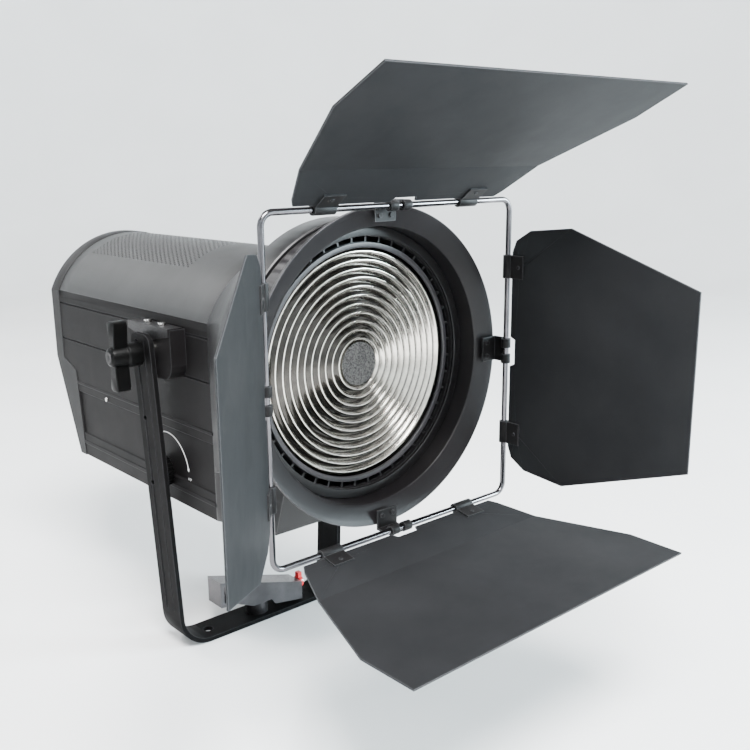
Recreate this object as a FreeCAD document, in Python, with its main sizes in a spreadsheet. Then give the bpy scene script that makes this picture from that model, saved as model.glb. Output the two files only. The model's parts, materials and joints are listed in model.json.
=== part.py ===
"""Fresnel spotlight with a focusing LED carriage, a four-leaf barn door and a U-shaped yoke.

Units are millimetres and degrees.  +Z is up, the light leaves towards -Y, and the origin is the
centre of the spigot socket at the underside of the yoke strap.  The pieces of the head are drawn
about the point where the tilt axis crosses the optical axis, and are lifted by axis_height.
"""
import FreeCAD
import Part
import Sketcher

import math
import os
import re

from FreeCAD import Placement, Rotation, Vector

DIMENSIONS = {
    # Yoke: a bent strap whose arms splay outwards by splay degrees
    "axis_height": 297,
    "yoke_foot": 98,
    "splay": 2.86,
    "arm_above_axis": 18,
    "yoke_wall": 4.6,
    "yoke_depth": 34.6,
    "bend_radius": 34,
    "arm_corner": 9,
    "arm_groove_depth": 1,
    "arm_groove_inset": 6,
    "arm_reach": 120,
    "adjust_hole": 2.2,
    "adjust_hole_back": 7.7,
    "adjust_hole_upper": -63,
    "adjust_hole_lower": -127,
    "safety_hole": 5,
    "safety_hole_out": 60,
    "stop_hole": 3,
    "stop_hole_out": 58,
    # Socket for a 16 mm spigot, and the screw that clamps it
    "socket_radius": 8.1,
    "socket_depth": 34,
    "boss_radius": 11.5,
    "boss_top": 17.5,
    "receiver_half_depth": 12,
    "clamp_height": 20,
    "clamp_radius": 3,
    "clamp_hub": 4.5,
    "clamp_tip": 9,
    "clamp_lever": 11,
    "receiver_end": 51,
    "ear_out": 50,
    "ear_top": 55,
    "ear_foot": 28,
    # Tilt pivots
    "stud_radius": 5,
    "running_gap": 0.05,
    "block_inner": 88.5,
    "block_outer": 104,
    "block_half_length": 38,
    "block_top": 24,
    "block_bottom": 22,
    "block_corner": 14,
    "block_screw_out": 97,
    "block_screw_along": 13,
    "block_screw": 2,
    "block_screw_depth": 9,
    "stop_sheet": 1.2,
    "stop_rise": 18,
    "stop_foot": 11.6,
    "washer_radius": 10,
    "washer_wall": 3.1,
    "bolt_end": 114.4,
    "bolt_head": 9.4,
    "bolt_head_wall": 6.4,
    "knob_far": 144,
    "knob_near": 115,
    "knob_hub": 14,
    "wing_near": 127,
    "wing_top": 33,
    "wing_tip": 7,
    "wing_waist": 9.5,
    "wing_waist_up": 20,
    # Case: flat sides, arched top, slanted lower back
    "half_width": 88.5,
    "side_wall": 3.5,
    "front_edge": -75.8,
    "rear_seam": 228,
    "ledge": 33,
    "case_bottom": 146,
    "rib_proud": 0.9,
    "groove_depth": 1.4,
    "field_depth": 1.5,
    "bevel": 1.2,
    "ground_out": 129,
    "ground_down": 72,
    "small_screw": 1.5,
    "pan_lip": 16,
    "louvre_half": 55,
    "louvre_wall": 3,
    "louvre_run": 60,
    "louvre_count": 9,
    "arch_centre": -5.4,
    "arch_radius": 96,
    "cover_wall": 2,
    "pan_wall": 1.6,
    "seam_knee": 42,
    "seam_step": 52,
    "seam_step_back": 200,
    "seam_foot_back": 190,
    "fit_gap": 0.2,
    "bezel_proud": 0.8,
    "bezel_wall": 3.2,
    "rear_face": 247.5,
    "rear_foot": 205,
    "panel_face": 242.5,
    "panel_wall": 2.5,
    "panel_bottom": 44,
    "panel_screw_out": 79,
    "panel_screw_low": -36,
    "panel_screw_high": 14,
    "display_left": -56,
    "display_right": 16,
    "display_low": 8,
    "display_high": 46,
    "rear_slope": 22.42,
    "slope_length": 106,
    # Front casting, lens and its holder, all turned about the optical axis
    "collar_front": 165.3,
    "casting_step": 139,
    "collar_radius": 121.5,
    "holder_radius": 113,
    "holder_front": 176,
    "holder_mouth": 107,
    "casting_wall": 3.5,
    "chin_foot": 69,
    "chin_top": 56,
    "lens_radius": 100,
    "lens_back": 163.2,
    "lens_front": 171.6,
    "lens_step": 2.6,
    "vent_inner": 102,
    "vent_outer": 106.8,
    "vent_count": 44,
    "spoke": 1.6,
    "retainer_inner": 97.5,
    "retainer_outer": 101.8,
    "keeper_outer": 115.1,
    # Barn door
    "rim_radius": 133,
    "rim_front": 203.8,
    "rim_inner": 118.6,
    "rim_inner_front": 197.3,
    "hood_inner": 115.6,
    "skirt_radius": 119.3,
    "skirt_front": 193,
    "ring_back": 167,
    "rod_plane": 220.8,
    "rod_radius": 2.5,
    "rod_half_width": 130,
    "rod_half_height": 133,
    "rod_corner": 10,
    "leaf_sheet": 1.5,
    "leaf_start": 5,
    "leaf_bend": 46,
    "leaf_bend_angle": 10.7,
    "leaf_length": 174,
    "leaf_reach": 152,
    "side_leaf_length": 184,
    "clip_offset": 75,
    "clip_half": 10,
    "clip_reach": 18,
    "clip_sheet": 1.4,
    "rivet_back": 13,
    "rivet_radius": 1.5,
    "rivet_head": 3.2,
    "tab_half": 11,
    "tab_sheet": 1.5,
    "tab_back": 16.8,
    "tab_drop": 13,
    "tab_rivet": 2,
    "tab_rivet_out": 6,
    "tab_rivet_down": 8,
    "curl_inner": 2.58,
    "curl_outer": 4.2,
    "top_leaf_angle": 37.4,
    "right_leaf_angle": 0,
    "bottom_leaf_angle": 11.5,
    "left_leaf_angle": 42.3,
    # Focusing carriage
    "guide_out": 72,
    "guide_down": 50,
    "guide_radius": 4,
    "carriage_face": -28,
    "carriage_wall": 4,
    "bush_radius": 8,
    "bush_front": -38,
    "bush_back": -14,
    "rod_front": -76.5,
    "rod_back": 117,
    "plate_half": 56,
    "ear_half": 81,
    "led_half": 25,
    "led_wall": 3,
    "led_dome": 17,
    "led_dome_wall": 1.4,
    "sink_wall": 6,
    "sink_half": 50,
    "sink_back": 42,
    "fin_count": 12,
    "fin_wall": 2,
    "fan_half": 40,
    "fan_depth": 25,
    "fan_bore": 37.6,
    "fan_pin": 1.5,
    "fan_arm_half": 2.5,
    "fan_hub": 13,
    "blade_tip": 35.6,
    "blade_count": 7,
    "bulkhead_wall": 2.5,
    "front_bulkhead_back": -71.5,
    "rear_bulkhead_back": 114.5,
    "front_opening": 70,
    "rear_opening": 48,
    "rack_window_outer": 70,
    "rack_window_inner": 46,
    "rack_window_low": 112,
    "rack_window_high": 90,
    "supply_half": 72,
    "supply_bottom": 142,
    "supply_top": 107,
    "supply_front": 72,
    "supply_back": 180,
    "supply_room": 0.5,
    # Rack and pinion: pitch radius 15, twenty teeth
    "focus_back": 8,
    "focus_down": 118,
    "pitch_radius": 15,
    "tooth_count": 20,
    "tooth_half": 0.9,
    "addendum": 1.2,
    "dedendum": 1.9,
    "rack_inner": 54,
    "rack_outer": 62,
    "rack_teeth": 16,
    "rack_top": 95,
    "rack_end": 2.4,
    "tooth_tip": 0.45,
    "tooth_root": 1.4,
    "focus_shaft_outer": 98,
    "focus_shaft_inner": 50,
    "focus_knob_radius": 15,
    "focus_knob_far": 100.5,
    "focus_knob_room": 1.4,
    "knurl_count": 24,
    # Controls and sockets on the back
    "dimmer_out": 46,
    "dimmer_down": 14,
    "dimmer_radius": 11,
    "dimmer_spindle": 3,
    "dimmer_depth": 9,
    "button_radius": 4,
    "button_down": 22,
    "button_pitch": 18,
    "first_button": -38,
    "button_travel": 1.2,
    "button_flange": 1.2,
    "board_front": 222,
    "board_back": 223.6,
    "socket_row": 46,
    "inlet_out": 50,
    "inlet_half": 25,
    "inlet_tall": 14,
    "inlet_body_half": 13.8,
    "inlet_body_tall": 10.3,
    "inlet_body_depth": 24,
    "inlet_mouth_half": 12,
    "inlet_mouth_tall": 8,
    "inlet_mouth_depth": 17,
    "inlet_pin_out": 7,
    "switch_out": 12,
    "switch_half": 12,
    "switch_tall": 16,
    "switch_body_half": 9.8,
    "switch_body_tall": 13.8,
    "switch_depth": 16,
    "switch_mouth_half": 8.3,
    "switch_mouth_tall": 12.5,
    "switch_mouth_depth": 14,
    "rocker_half": 7.6,
    "rocker_tall": 11,
    "rocker_pin": 1.2,
    "signal_out": 26,
    "signal_pitch": 34,
    "signal_radius": 11.5,
    "signal_wall": 2,
    "signal_plate_half": 13,
    "signal_plate_tall": 15,
    "signal_depth": 18,
    "signal_hollow": 14,
    "signal_pin": 1.1,
    "signal_pin_out": 5,
    "rocker_tilt": 10,
}

doc = FreeCAD.newDocument("fresnel_spotlight")
sheet = doc.addObject("Spreadsheet::Sheet", "dims")
for row, (alias, number) in enumerate(DIMENSIONS.items(), start=1):
    sheet.set(f"A{row}", str(number))
    sheet.setAlias(f"A{row}", alias)
doc.recompute()

WORD = re.compile(r"[a-z_][a-z_0-9]*")
HEAD = ("0", "0", "axis_height")
YOKE = ("0", "0", "0")
X_AXIS = Vector(1, 0, 0)
Y_AXIS = Vector(0, 1, 0)
nodes = []


# ---------------------------------------------------------------- helpers

def linked(text):
    """Turn a formula of dimension names into one that refers to the sheet's cells."""
    return WORD.sub(lambda word: ("dims." if word.group() in DIMENSIONS else "") + word.group(), str(text))


def value(text):
    return float(sheet.evalExpression(linked(text)))


def name_node(thing, label):
    thing.Label = label
    nodes.append(thing)
    return thing


def set_place(thing, place, axis=X_AXIS, angle="0"):
    """Bind a Placement to formulas: a position and a turn about one axis."""
    thing.Placement = Placement(Vector(), Rotation(axis, value(angle) or 1e-9))
    if value(angle):
        thing.setExpression("Placement.Rotation.Angle", linked(angle))
    else:
        thing.Placement = Placement()
    for letter, text in zip("xyz", place):
        thing.setExpression("Placement.Base." + letter, linked(text))


def new_body(label, place=HEAD, axis=X_AXIS, angle="0"):
    body = doc.addObject("PartDesign::Body", "body_" + label)
    if place:
        set_place(body, place, axis, angle)
    return name_node(body, label)


def datum(body, role):
    return next(item for item in body.Origin.OriginFeatures if item.Role == role)


def new_sketch(body, plane, offset="0"):
    """A sketch on an origin plane, moved along the axis that the plane's name leaves out."""
    sketch = body.newObject("Sketcher::SketchObject", "sketch")
    sketch.AttachmentSupport = [(datum(body, plane + "_Plane"), "")]
    sketch.MapMode = "FlatFace"
    sign = "-" if plane == "XZ" else ""
    sketch.setExpression("AttachmentOffset.Base.z", linked(f"{sign}({offset})"))
    return sketch


def drive(sketch, constraint, text):
    index = sketch.addConstraint(constraint)
    sketch.setExpression(f"Constraints[{index}]", linked(text))


def arc_middle(start, end, radius):
    """The middle of the short arc from start to end: anticlockwise where radius is positive."""
    chord = end.sub(start)
    sagitta = abs(radius) - math.sqrt(radius ** 2 - (chord.Length / 2) ** 2)
    outward = Vector(chord.y, -chord.x, 0).normalize()
    return start.add(end).multiply(0.5).add(outward.multiply(math.copysign(sagitta, radius)))


def draw_outline(sketch, path):
    """A closed outline.  A point (x, y) ends a straight edge and (x, y, radius) ends an arc."""
    corners = [Vector(value(point[0]), value(point[1]), 0) for point in path]
    edges = []
    for index, point in enumerate(path):
        start = corners[index - 1]
        end = corners[index]
        if len(point) == 2:
            edges.append((sketch.addGeometry(Part.LineSegment(start, end)), 1, 2))
            continue
        radius = value(point[2])
        middle = arc_middle(start, end, radius)
        if radius > 0:
            edges.append((sketch.addGeometry(Part.Arc(start, middle, end)), 1, 2))
        else:
            edges.append((sketch.addGeometry(Part.Arc(end, middle, start)), 2, 1))
    for index, point in enumerate(path):
        edge, _, tail = edges[index]
        following, head, _ = edges[(index + 1) % len(edges)]
        sketch.addConstraint(Sketcher.Constraint("Coincident", edge, tail, following, head))
        corner = corners[index]
        drive(sketch, Sketcher.Constraint("DistanceX", -1, 1, edge, tail, corner.x), point[0])
        drive(sketch, Sketcher.Constraint("DistanceY", -1, 1, edge, tail, corner.y), point[1])
        if len(point) == 3:
            drive(sketch, Sketcher.Constraint("Radius", edge, abs(value(point[2]))), f"abs({point[2]})")


def draw_circle(sketch, across, up, radius):
    centre = Vector(value(across), value(up), 0)
    edge = sketch.addGeometry(Part.Circle(centre, Vector(0, 0, 1), value(radius)))
    drive(sketch, Sketcher.Constraint("DistanceX", -1, 1, edge, 3, centre.x), across)
    drive(sketch, Sketcher.Constraint("DistanceY", -1, 1, edge, 3, centre.y), up)
    drive(sketch, Sketcher.Constraint("Radius", edge, value(radius)), radius)


def draw(sketch, shapes):
    """Draw outlines, given as lists of points, and circles, given as (x, y, radius) tuples."""
    for shape in shapes:
        if isinstance(shape, tuple):
            draw_circle(sketch, *shape)
        else:
            draw_outline(sketch, shape)


def add_feature(body, kind, sketch):
    """Add a sketch-based feature; a feature that cuts has to take material away."""
    cuts = kind in ("Pocket", "Groove", "SubtractiveLoft")
    before = body.Shape.Volume if cuts else 0
    feature = body.newObject("PartDesign::" + kind, kind.lower())
    feature.Profile = sketch
    return feature, before


def check_cut(body, before):
    doc.recompute()
    if before and body.Shape.Volume > before - 0.01:
        raise RuntimeError(f"a cut in {body.Label} removes nothing")


def prism(body, plane, shapes, start, end, kind="Pad"):
    """Pad or pocket shapes on a plane, between start and end along the plane's normal axis."""
    sketch = new_sketch(body, plane, f"(({start}) + ({end}))/2")
    draw(sketch, shapes)
    feature, before = add_feature(body, kind, sketch)
    feature.SideType = "Symmetric"
    feature.setExpression("Length", linked(f"abs(({end}) - ({start}))"))
    check_cut(body, before)
    return feature


def pocket(body, plane, shapes, start, end):
    return prism(body, plane, shapes, start, end, "Pocket")


def turned(body, axis, path, kind="Revolution"):
    """Turn an outline about the body's X, Y or Z axis; about X and Y its points are (axis, radius)."""
    plane = "YZ" if axis == "Y" else "XZ"
    sketch = new_sketch(body, plane)
    draw(sketch, [path])
    feature, before = add_feature(body, kind, sketch)
    feature.ReferenceAxis = (datum(body, axis + "_Axis"), [""])
    feature.Angle = 360
    check_cut(body, before)
    return feature


def loft(body, plane, first, first_at, second, second_at, kind="AdditiveLoft"):
    """A ruled loft between one outline and another of as many points."""
    sketch = new_sketch(body, plane, first_at)
    draw(sketch, [first])
    last = new_sketch(body, plane, second_at)
    draw(last, [second])
    feature, before = add_feature(body, kind, sketch)
    feature.Sections = [last]
    feature.Ruled = True
    check_cut(body, before)
    return feature


def polar(body, feature, axis, count):
    pattern = body.newObject("PartDesign::PolarPattern", "polar")
    pattern.Originals = [feature]
    pattern.Axis = (datum(body, axis + "_Axis"), [""])
    pattern.Angle = 360
    pattern.setExpression("Occurrences", linked(count))
    body.Tip = pattern
    doc.recompute()


def row_of(body, feature, axis, length, count):
    pattern = body.newObject("PartDesign::LinearPattern", "row")
    pattern.Originals = [feature]
    pattern.Direction = (datum(body, axis + "_Axis"), [""])
    pattern.setExpression("Length", linked(length))
    pattern.setExpression("Occurrences", linked(count))
    body.Tip = pattern
    doc.recompute()


def primitive(kind, place, axis=X_AXIS, angle="0", **sizes):
    thing = doc.addObject("Part::" + kind, kind.lower())
    for name, text in sizes.items():
        thing.setExpression(name, linked(text))
    set_place(thing, place, axis, angle)
    return thing


def block(low, high):
    """A box between two corners, given as formulas."""
    spans = [f"({end}) - ({start})" for start, end in zip(low, high)]
    return primitive("Box", low, Length=spans[0], Width=spans[1], Height=spans[2])


def rod_along(axis, start, end, across, up, radius):
    """A cylinder along X (across = y, up = z), along Y (across = x, up = z) or along Z (x, y)."""
    length = f"({end}) - ({start})"
    if axis == "X":
        return primitive("Cylinder", (start, across, up), Y_AXIS, "90", Radius=radius, Height=length)
    if axis == "Y":
        return primitive("Cylinder", (across, start, up), X_AXIS, "-90", Radius=radius, Height=length)
    return primitive("Cylinder", (across, up, start), Radius=radius, Height=length)


def fused(parts):
    joined = doc.addObject("Part::MultiFuse", "fused")
    joined.Shapes = parts
    return joined


def without(base, tool):
    cut = doc.addObject("Part::Cut", "cut")
    cut.Base = base
    cut.Tool = tool
    return cut


def tube_along(axis, start, end, across, up, outer, inner):
    return without(rod_along(axis, start, end, across, up, outer),
                   rod_along(axis, f"({start}) - 1", f"({end}) + 1", across, up, inner))


def node_of(label, parts, place=HEAD, axis=X_AXIS, angle="0"):
    """One node from one or more separate solids."""
    group = doc.addObject("Part::Compound", "group")
    group.Links = parts
    set_place(group, place, axis, angle)
    return name_node(group, label)


def rectangle(left, right, low, high):
    return [(left, low), (right, low), (right, high), (left, high)]


def about(across, up, half, tall):
    """A rectangle about a middle point, given its half width and half height."""
    return rectangle(f"{across} - ({half})", f"{across} + ({half})", f"{up} - ({tall})", f"{up} + ({tall})")


def mirrored(path):
    """The outline on the other side of the vertical axis, drawn the same way round."""
    return [(f"-({point[0]})",) + tuple(point[1:]) for point in reversed(path)]


# ---------------------------------------------------------------- yoke

def arm_outer(height):
    return f"(yoke_foot + ({height})*tan(splay))"


def arm_inner(height):
    return f"({arm_outer(height)} - yoke_wall/cos(splay))"


def make_yoke():
    top = "(axis_height + arm_above_axis)"
    run_out = "(bend_radius*tan(45 - splay/2))"
    run_in = "((bend_radius - yoke_wall)*tan(45 - splay/2))"
    outer_rise = f"({run_out}*cos(splay))"
    inner_rise = f"(yoke_wall + {run_in}*cos(splay))"
    inner_foot = f"({arm_inner('yoke_wall')} - {run_in})"
    outer_foot = f"(yoke_foot - {run_out})"
    body = new_body("yoke", YOKE)
    prism(body, "XZ", [[
        (f"-{arm_outer(top)}", top),
        (f"-{arm_outer(outer_rise)}", outer_rise),
        (f"-{outer_foot}", "0", "bend_radius"),
        (outer_foot, "0"),
        (arm_outer(outer_rise), outer_rise, "bend_radius"),
        (arm_outer(top), top),
        (arm_inner(top), top),
        (arm_inner(inner_rise), inner_rise),
        (inner_foot, "yoke_wall", "-(bend_radius - yoke_wall)"),
        (f"-{inner_foot}", "yoke_wall"),
        (f"-{arm_inner(inner_rise)}", inner_rise, "-(bend_radius - yoke_wall)"),
        (f"-{arm_inner(top)}", top),
    ]], "-yoke_depth/2", "yoke_depth/2")
    groove_foot = "bend_radius + arm_groove_inset"
    groove_top = f"({top} - arm_groove_inset)"
    for front, back in (("4", "8"), ("-7.6", "-6.4")):
        groove = [
            (f"{arm_outer(groove_foot)} - arm_groove_depth", groove_foot),
            (f"{arm_outer(groove_foot)} + 1", groove_foot),
            (f"{arm_outer(groove_top)} + 1", groove_top),
            (f"{arm_outer(groove_top)} - arm_groove_depth", groove_top),
        ]
        pocket(body, "XZ", [groove, mirrored(groove)], front, back)
    arm_holes = [
        ("0", "axis_height", "stud_radius + running_gap"),
        ("adjust_hole_back", "axis_height + adjust_hole_upper", "adjust_hole"),
        ("adjust_hole_back", "axis_height + adjust_hole_lower", "adjust_hole"),
    ]
    pocket(body, "YZ", arm_holes, "-arm_reach", "arm_reach")
    strap_holes = [
        ("0", "0", "socket_radius"),
        ("-safety_hole_out", "0", "safety_hole"),
        ("stop_hole_out", "0", "stop_hole"),
    ]
    pocket(body, "XY", strap_holes, "-1", "yoke_wall + 1")
    # The arm tips are rounded across their width
    for sign in ("", "-"):
        edge = f"{sign}(yoke_depth/2)"
        past = f"{sign}(yoke_depth/2 + 2)"
        near = f"{sign}(yoke_depth/2 - arm_corner)"
        tip = [(edge, f"{top} - arm_corner"), (near, top, f"{sign}arm_corner"), (past, f"{top} + 1"),
               (past, f"{top} - arm_corner")]
        pocket(body, "YZ", [tip], "-arm_reach", "arm_reach")


def make_spigot_receiver():
    body = new_body("spigot_receiver", YOKE)
    lever = [
        ("-ear_out", "ear_top"), ("-ear_out", "ear_foot"), ("-ear_out + 20", "ear_foot - 2"),
        ("-boss_radius", "boss_top"), ("boss_radius", "boss_top"), ("boss_radius + 4.5", "boss_top - 6.5"),
        ("receiver_end", "yoke_wall + 0.6"), ("receiver_end", "clamp_height + 5"),
    ]
    window = [
        ("-ear_out + 4", "ear_top - 5"), ("-ear_out + 4", "ear_foot + 4"),
        ("-ear_out + 14", "ear_foot + 3"), ("-ear_out + 14", "ear_top - 7.5"),
    ]
    prism(body, "XZ", [lever, window], "-receiver_half_depth", "receiver_half_depth")
    prism(body, "XY", [("0", "0", "boss_radius")], "yoke_wall", "boss_top + 1")
    pocket(body, "XY", [("0", "0", "socket_radius")], "0", "socket_depth")
    pocket(body, "YZ", [("0", "clamp_height", "clamp_radius + running_gap")], "0", "receiver_end + 1")


def make_receiver_screw():
    place = ("0", "0", "clamp_height")
    screw = new_body("receiver_screw", place)
    turned(screw, "X", [
        ("clamp_tip", "0"), ("clamp_tip", "clamp_radius"), ("receiver_end + 0.4", "clamp_radius"),
        ("receiver_end + 0.4", "clamp_hub"), ("receiver_end + 8", "clamp_hub"), ("receiver_end + 8", "0"),
    ])
    lever = new_body("receiver_lever", place)
    near = "receiver_end + 1.8"
    far = "receiver_end + 6.8"
    prism(lever, "YZ", [("0", "0", "clamp_hub + 1.8")], near, far)
    prism(lever, "YZ", [rectangle("-2.8", "2.8", "0", "clamp_lever")], near, far)
    pocket(lever, "YZ", [("0", "0", "clamp_hub")], near, far)


def make_tilt_pivots():
    bore = "stud_radius + running_gap"
    near = "block_outer + fit_gap"
    far = f"({near} + washer_wall)"
    node_of("friction_washers", [
        tube_along("X", near, far, "0", "0", "washer_radius", bore),
        tube_along("X", f"-{far}", f"-({near})", "0", "0", "washer_radius", bore),
    ])
    bolt = fused([
        rod_along("X", "block_inner + 1", "bolt_end", "0", "0", "stud_radius"),
        primitive("Prism", ("bolt_end", "0", "0"), Y_AXIS, "90", Polygon="6",
                  Circumradius="bolt_head", Height="bolt_head_wall"),
    ])
    node_of("pivot_bolt", [bolt])
    node_of("tilt_stud", [rod_along("X", "-knob_far - 0.6", "-block_inner - 1", "0", "0", "stud_radius")])
    knob = new_body("tilt_knob")
    tip = "wing_tip + 0.2"
    wing = [
        ("-wing_tip", "-wing_top + wing_tip"), ("wing_tip", "-wing_top + wing_tip", tip),
        ("wing_waist", "-wing_waist_up"), ("knob_hub - 2", "0"), ("wing_waist", "wing_waist_up"),
        ("wing_tip", "wing_top - wing_tip"), ("-wing_tip", "wing_top - wing_tip", tip),
        ("-wing_waist", "wing_waist_up"), ("-knob_hub + 2", "0"), ("-wing_waist", "-wing_waist_up"),
    ]
    prism(knob, "YZ", [wing], "-knob_far", "-wing_near")
    prism(knob, "YZ", [("0", "0", "knob_hub")], "-knob_far", "-knob_near")
    pocket(knob, "YZ", [("0", "0", "stud_radius")], "-knob_far - 1", "-knob_near + 1")


def make_pivot_block(side, sign):
    near = f"{sign}block_inner"
    far = f"{sign}block_outer"
    screw_at = [(f"{sign}block_screw_out", f"{end}block_screw_along", "block_screw") for end in ("-", "")]
    body = new_body(f"pivot_block_{side}")
    prism(body, "YZ", [[
        ("-block_half_length", "block_top"),
        ("-block_half_length", "-(block_bottom - block_corner)"),
        ("-(block_half_length - block_corner)", "-block_bottom", "block_corner"),
        ("block_half_length - block_corner", "-block_bottom"),
        ("block_half_length", "-(block_bottom - block_corner)", "block_corner"),
        ("block_half_length", "block_top"),
    ]], near, far)
    pocket(body, "YZ", [("0", "0", "stud_radius + running_gap")], near, far)
    pocket(body, "XY", screw_at, "block_top - block_screw_depth", "block_top")
    plate = new_body(f"tilt_stop_{side}")
    reach = "block_half_length - 1"
    prism(plate, "YZ", [[
        (f"-({reach})", "block_top + stop_sheet"), (f"-({reach})", "stop_rise"), ("-4", "stop_foot"),
        ("4", "stop_foot"), (reach, "stop_rise"), (reach, "block_top + stop_sheet"),
    ]], far, f"{sign}(block_outer + stop_sheet)")
    across = sorted([f"{sign}(block_outer + stop_sheet)", f"{sign}(block_inner + 1.5)"], key=value)
    prism(plate, "XY", [rectangle(across[0], across[1], f"-({reach})", reach)],
          "block_top", "block_top + stop_sheet")
    pocket(plate, "XY", screw_at, "block_top - 1", "block_top + stop_sheet + 1")


# ---------------------------------------------------------------- case

def arch_height(radius, across):
    """Height where an arch of this radius passes this far from the middle."""
    return f"(arch_centre + sqrt(({radius})^2 - ({across})^2))"


def arched(half, radius, bottom):
    """The case's outline: flat bottom and sides under a round arch."""
    shoulder = arch_height(radius, half)
    return [(f"-({half})", bottom), (half, bottom), (half, shoulder), (f"-({half})", shoulder, radius)]


def make_side_panel(side, sign):
    """Extruded side with a bevelled top edge, two grooves, two ribs and a sunk lower field."""
    inner = "half_width - side_wall"
    steps = [
        ("-133.5", "-132.7", "rib_proud"), ("-129.5", "-128.7", "0"),
        ("-121.6", "-120.4", "-field_depth"), ("-75.6", "-74.4", "0"),
        ("-66.8", "-66.1", "rib_proud"), ("-63.9", "-63.2", "0"),
        ("-20.6", "-20.2", "-groove_depth"), ("-18.8", "-18.4", "0"),
        ("18.4", "18.8", "-groove_depth"), ("20.2", "20.6", "0"),
    ]
    profile = [(inner, "-case_bottom"), ("half_width", "-case_bottom")]
    for low, high, proud in steps:
        profile.append((profile[-1][0], low))
        profile.append((f"half_width + ({proud})", high))
    profile += [("half_width", "ledge - 7"), ("half_width - bevel", "ledge"), (inner, "ledge")]
    body = new_body(f"side_panel_{side}")
    outline = mirrored(profile) if sign else profile
    prism(body, "XZ", [outline], "front_edge", "rear_seam")
    behind_seam = [
        ("rear_seam", "-seam_knee"), ("seam_step_back", "-seam_step"),
        ("seam_foot_back", "-case_bottom - 1"), ("rear_seam + 5", "-case_bottom - 1"),
        ("rear_seam + 5", "-seam_knee"),
    ]
    near = f"{sign}(half_width - 8)"
    far = f"{sign}(half_width + 6)"
    pocket(body, "YZ", [behind_seam], near, far)
    holes = [("0", "0", "stud_radius + 1"), ("ground_out", "-ground_down", "small_screw")]
    if sign:
        holes.append(("focus_back", "-focus_down", "guide_radius + running_gap"))
    pocket(body, "YZ", holes, near, far)


def make_case():
    foot = "sqrt(arch_radius^2 - (ledge - arch_centre)^2)"
    inner_radius = "(arch_radius - cover_wall)"
    inner_half = f"sqrt({inner_radius}^2 - (ledge - arch_centre)^2)"
    cover = new_body("top_cover")
    prism(cover, "XZ", [[
        (foot, "ledge"), (f"-{foot}", "ledge", "arch_radius"), (f"-{inner_half}", "ledge"),
        (inner_half, "ledge", f"-{inner_radius}"),
    ]], "front_edge", "rear_seam")

    pan = new_body("bottom_pan")
    edge = "half_width - side_wall - fit_gap"
    inner = f"{edge} - pan_wall"
    floor = "-case_bottom + pan_wall"
    lip = "-case_bottom + pan_lip"
    prism(pan, "XZ", [[
        (f"-({edge})", "-case_bottom"), (edge, "-case_bottom"), (edge, lip), (inner, lip), (inner, floor),
        (f"-({inner})", floor), (f"-({inner})", lip), (f"-({edge})", lip),
    ]], "front_edge + 2", "seam_foot_back - 1")
    slot = pocket(pan, "XY", [rectangle("-louvre_half", "louvre_half", "0", "louvre_wall")],
                  "-case_bottom - 1", "-case_bottom + 3")
    row_of(pan, slot, "Y", "louvre_run", "louvre_count")

    for side, sign in (("right", ""), ("left", "-")):
        make_side_panel(side, sign)
        make_pivot_block(side, sign)


def make_bulkhead(label, back, opening):
    """A plate across the case that carries the guide rods."""
    edge = "half_width - side_wall - fit_gap"
    inset = f"{edge} - pan_wall - fit_gap"
    lip = "-case_bottom + pan_lip + 2*fit_gap"
    floor = "-case_bottom + pan_wall + fit_gap"
    radius = "(arch_radius - cover_wall - fit_gap)"
    shoulder = arch_height(radius, edge)
    plate = [
        (f"-({inset})", floor), (inset, floor), (inset, lip), (edge, lip), (edge, shoulder),
        (f"-({edge})", shoulder, radius), (f"-({edge})", lip), (f"-({inset})", lip),
    ]
    holes = [("0", "0", opening)]
    holes += [(f"{sign}guide_out", "-guide_down", "guide_radius") for sign in ("", "-")]
    body = new_body(label)
    prism(body, "XZ", [plate] + holes, f"{back} - bulkhead_wall", back)
    rack_window = rectangle("-rack_window_outer", "-rack_window_inner", "-rack_window_low",
                            "-rack_window_high")
    pocket(body, "XZ", [rack_window], f"{back} - bulkhead_wall", back)
    return body


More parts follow.
